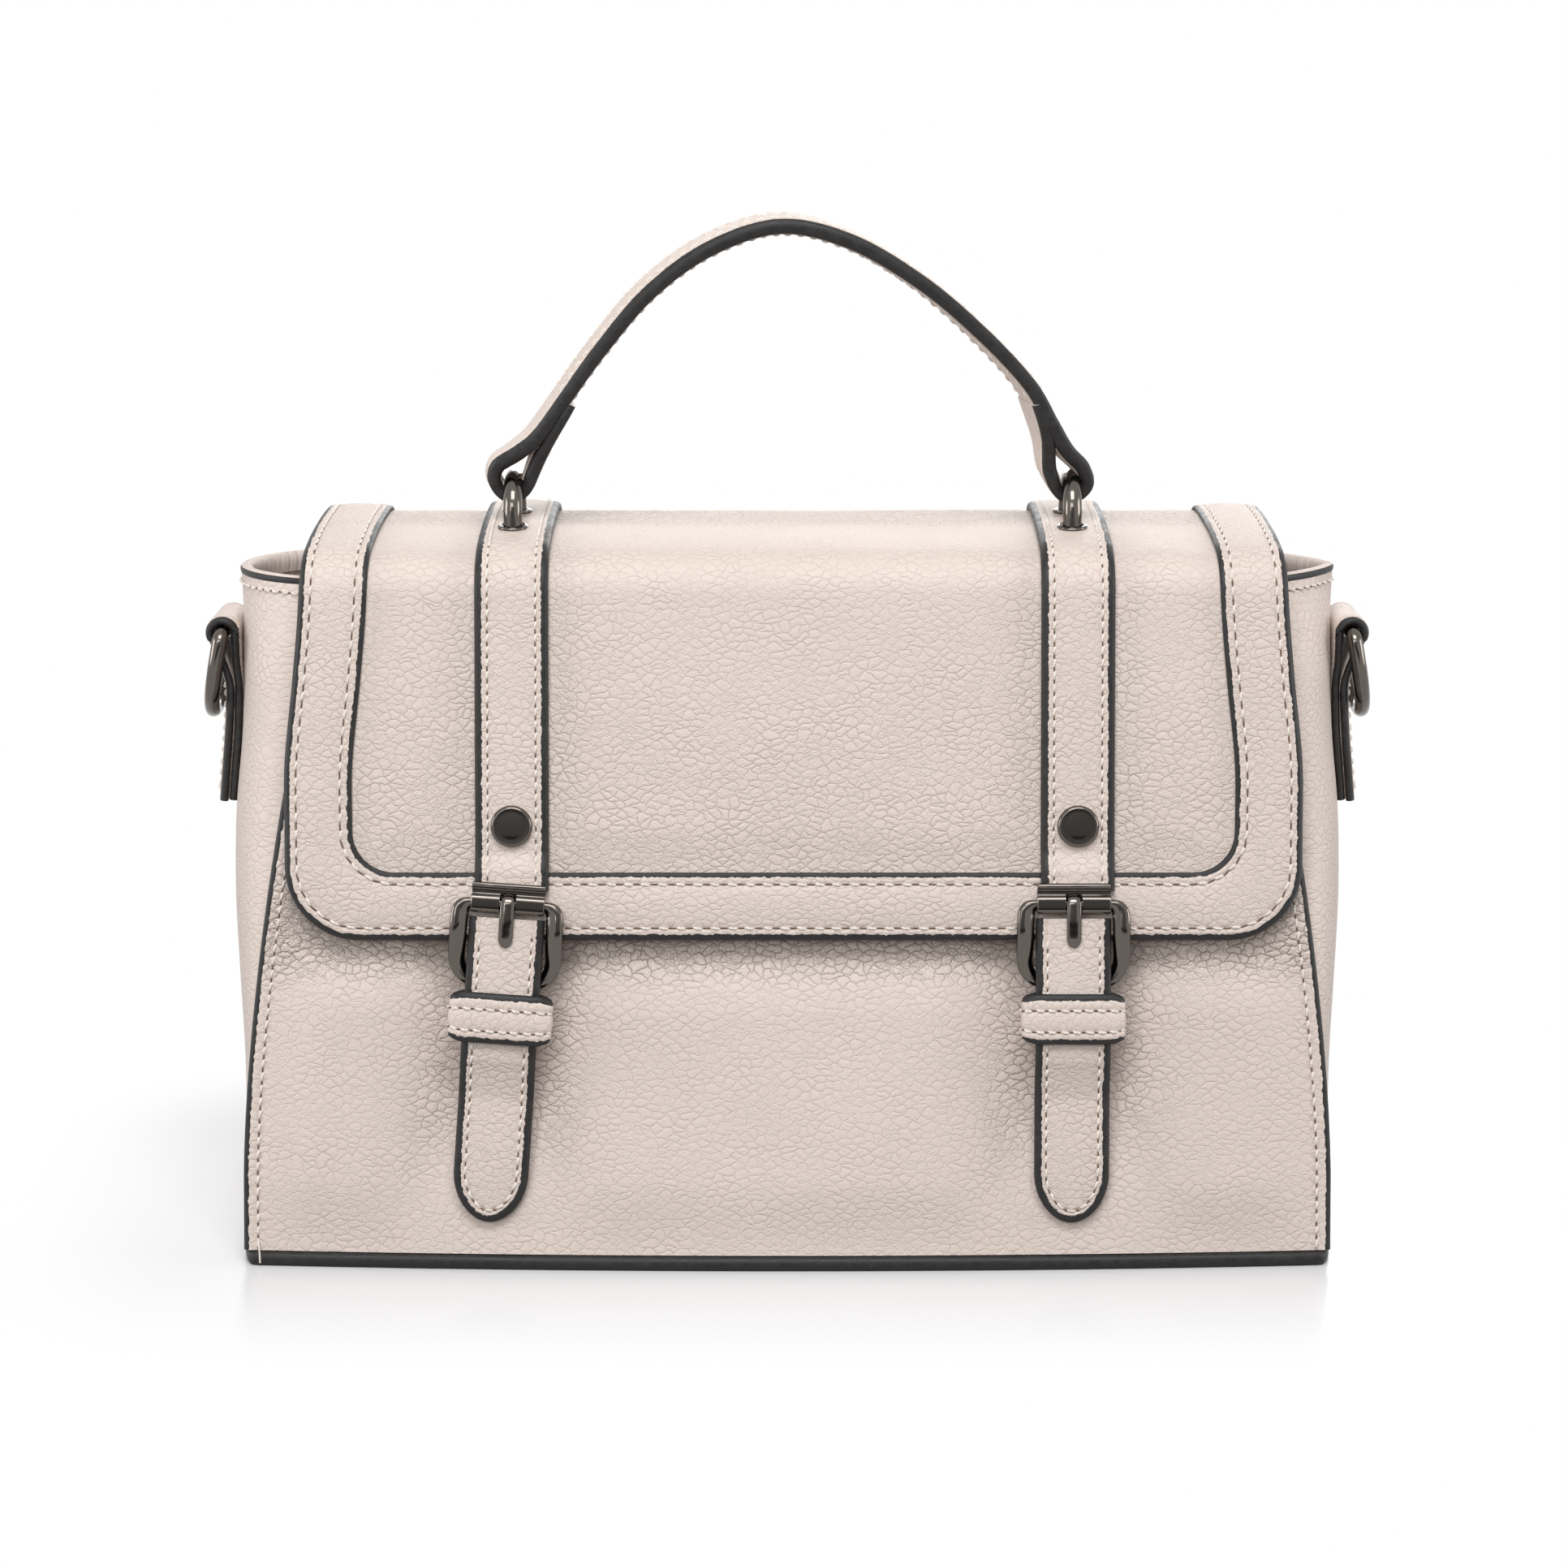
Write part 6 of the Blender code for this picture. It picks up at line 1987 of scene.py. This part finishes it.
def make_floor():
    """A pale satin floor that keeps the bag's shadow and goes to white away from it.

    It throws little light back up, so the foot of the bag stays as dark as in the photograph.
    """
    finish, tree, shader = new_finish("pale_floor", FLOOR_COLOUR, 0.25)
    bounced = tree.nodes.new("ShaderNodeLightPath").outputs["Is Diffuse Ray"]
    feed(tree, mix_colour(tree, bounced, FLOOR_COLOUR, FLOOR_BOUNCE), shader.inputs["Base Color"])
    outside = tree.nodes.new("ShaderNodeNewGeometry").outputs["Position"]
    for operation, *values in (("ABSOLUTE",), ("SUBTRACT", FOOTPRINT), ("MAXIMUM", (0.0, 0.0, 0.0)),
                               ("LENGTH",)):
        outside = vector_node(tree, operation, outside, *values)
    share = times(tree, ramp_between(tree, outside, 0.0, FLOOR_FADE), seen_directly(tree))
    glow = tree.nodes.new("ShaderNodeEmission")
    feed(tree, mix_shaders(tree, share, shader, glow), tree.nodes["Material Output"].inputs["Surface"])
    corners = [(x * FLOOR_REACH, y * FLOOR_REACH, 0.0) for x, y in ((-1, -1), (1, -1), (1, 1), (-1, 1))]
    floor = sheet("studio_floor", corners, finish)


# Upright cards in front of the bag that only reflections show, as (name, low and high corner, grey)
REFLECTED_CARDS = (("dark_card", (-0.50, -0.85, 0.0), (0.50, -0.85, 0.075), 0.02),
                   ("grey_card", (-0.40, -1.10, 0.06), (0.40, -1.10, 0.60), 0.32))


def reflected_card(name, low, high, level):
    """A card of one grey that shows in the metal and nowhere else."""
    card = bpy.data.materials.new(name)
    card.use_nodes = True
    tree = card.node_tree
    glow = add_node(tree, "ShaderNodeEmission", {"Color": (level, level, level)})
    feed(tree, glow.outputs[0], tree.nodes["Material Output"].inputs["Surface"])
    tree.nodes.remove(tree.nodes["Principled BSDF"])
    made = sheet(name, [low, (high[0], low[1], low[2]), high, (low[0], low[1], high[2])], card)
    made.visible_camera = False
    made.visible_diffuse = False
    made.visible_shadow = False
    made.visible_transmission = False


LAMP_TARGET = (0.0, 0.0, 0.10)
# The lamps, as (name, size, setting that holds its power, place)
LAMPS = (("top_lamp", (0.8, 0.5), "key_watts", (0.0, -0.72, 1.15)),
         ("front_lamp", (0.8, 0.5), "front_watts", (-0.25, -1.25, 0.65)),
         ("back_lamp", (1.0, 0.5), "rim_watts", (0.2, 1.3, 0.55)),
         ("left_lamp", (0.5, 0.5), "side_watts", (-1.2, -0.15, 0.35)),
         ("right_lamp", (0.5, 0.5), "side_watts", (1.2, -0.15, 0.35)))


class BAG_OT_stage(bpy.types.Operator):
    """Set the camera at the photograph's angle, with a pale floor and soft lamps"""

    bl_idname = "bag.stage"
    bl_label = "Stage"

    def execute(self, context):
        stage = context.scene.bag_stage
        data = bpy.data.cameras.new("camera")
        data.sensor_width = 36.0
        data.lens = stage.lens
        camera = bpy.data.objects.new("camera", data)
        camera.location = (-0.0008, -stage.distance, stage.height)
        camera.rotation_euler = (0.5 * math.pi - stage.pitch, 0.0, 0.0)
        context.scene.collection.objects.link(camera)
        context.scene.camera = camera
        context.scene.view_settings.view_transform = "Standard"
        make_world(stage.world_light)
        make_floor()
        for name, size, watts, place in LAMPS:
            lamp(name, size, getattr(stage, watts), place, LAMP_TARGET)
        for name, low, high, level in REFLECTED_CARDS:
            reflected_card(name, low, high, level)
        return {"FINISHED"}


class BAG_OT_shell(bpy.types.Operator):
    """Make the body: panels, gussets, base and lining"""

    bl_idname = "bag.shell"
    bl_label = "Body shell"

    def execute(self, context):
        make_panels()
        make_thread_end()
        make_gussets()
        make_base()
        make_lining()
        return {"FINISHED"}


class BAG_OT_flap(bpy.types.Operator):
    """Make the flap, its suede, its border strip and the two straps sewn on it"""

    bl_idname = "bag.flap"
    bl_label = "Flap"

    def execute(self, context):
        make_flap()
        make_upper_straps()
        return {"FINISHED"}


class BAG_OT_handle(bpy.types.Operator):
    """Make the top handle with its folded ends"""

    bl_idname = "bag.handle"
    bl_label = "Handle"

    def execute(self, context):
        make_handle()
        return {"FINISHED"}


class BAG_OT_closures(bpy.types.Operator):
    """Make both buckles with their clips, prongs, pointed straps and keepers"""

    bl_idname = "bag.closures"
    bl_label = "Buckles and straps"

    def execute(self, context):
        for side, sign in SIDES:
            place = buckle_place(side)
            make_lower_strap(side, sign, place)
            make_keeper(side, sign, place)
            make_clamp(side, place)
            make_buckle_frame(side, place)
            make_prong(side, place)
        return {"FINISHED"}


class BAG_OT_fittings(bpy.types.Operator):
    """Make the staples, washers, rivets, side tabs and rings"""

    bl_idname = "bag.fittings"
    bl_label = "Fittings and tabs"

    def execute(self, context):
        make_staples()
        make_rivets()
        make_tabs()
        make_rings()
        dress_carried_nodes()
        return {"FINISHED"}


OPERATORS = (BAG_OT_stage, BAG_OT_shell, BAG_OT_flap, BAG_OT_handle, BAG_OT_closures, BAG_OT_fittings)
SETTINGS = (("bag_colours", BagColours), ("bag_sewing", BagSewing), ("bag_stage", BagStage))


class BAG_PT_panel(bpy.types.Panel):
    """Lists the steps that make the bag"""

    bl_idname = "BAG_PT_panel"
    bl_label = "Buckled Crossbody Bag"
    bl_space_type = "VIEW_3D"
    bl_region_type = "UI"
    bl_category = "Bag"

    def draw(self, context):
        for operator in OPERATORS:
            self.layout.operator(operator.bl_idname)
        for name, group in SETTINGS:
            box = self.layout.box()
            box.label(text=group.__doc__)
            for setting in group.__annotations__:
                box.prop(getattr(context.scene, name), setting)


def register():
    """Add the settings, the operators and the panel to Blender."""
    for name, group in SETTINGS:
        bpy.utils.register_class(group)
        setattr(bpy.types.Scene, name, bpy.props.PointerProperty(type=group))
    for operator in OPERATORS:
        bpy.utils.register_class(operator)
    bpy.utils.register_class(BAG_PT_panel)


def unregister():
    """Take the panel, the operators and the settings away again."""
    bpy.utils.unregister_class(BAG_PT_panel)
    for operator in reversed(OPERATORS):
        bpy.utils.unregister_class(operator)
    for name, group in reversed(SETTINGS):
        delattr(bpy.types.Scene, name)
        bpy.utils.unregister_class(group)


def main():
    """Dress the whole bag."""
    register()
    for operator in OPERATORS:
        group, name = operator.bl_idname.split(".")
        getattr(getattr(bpy.ops, group), name)()


if __name__ == "__main__":
    main()
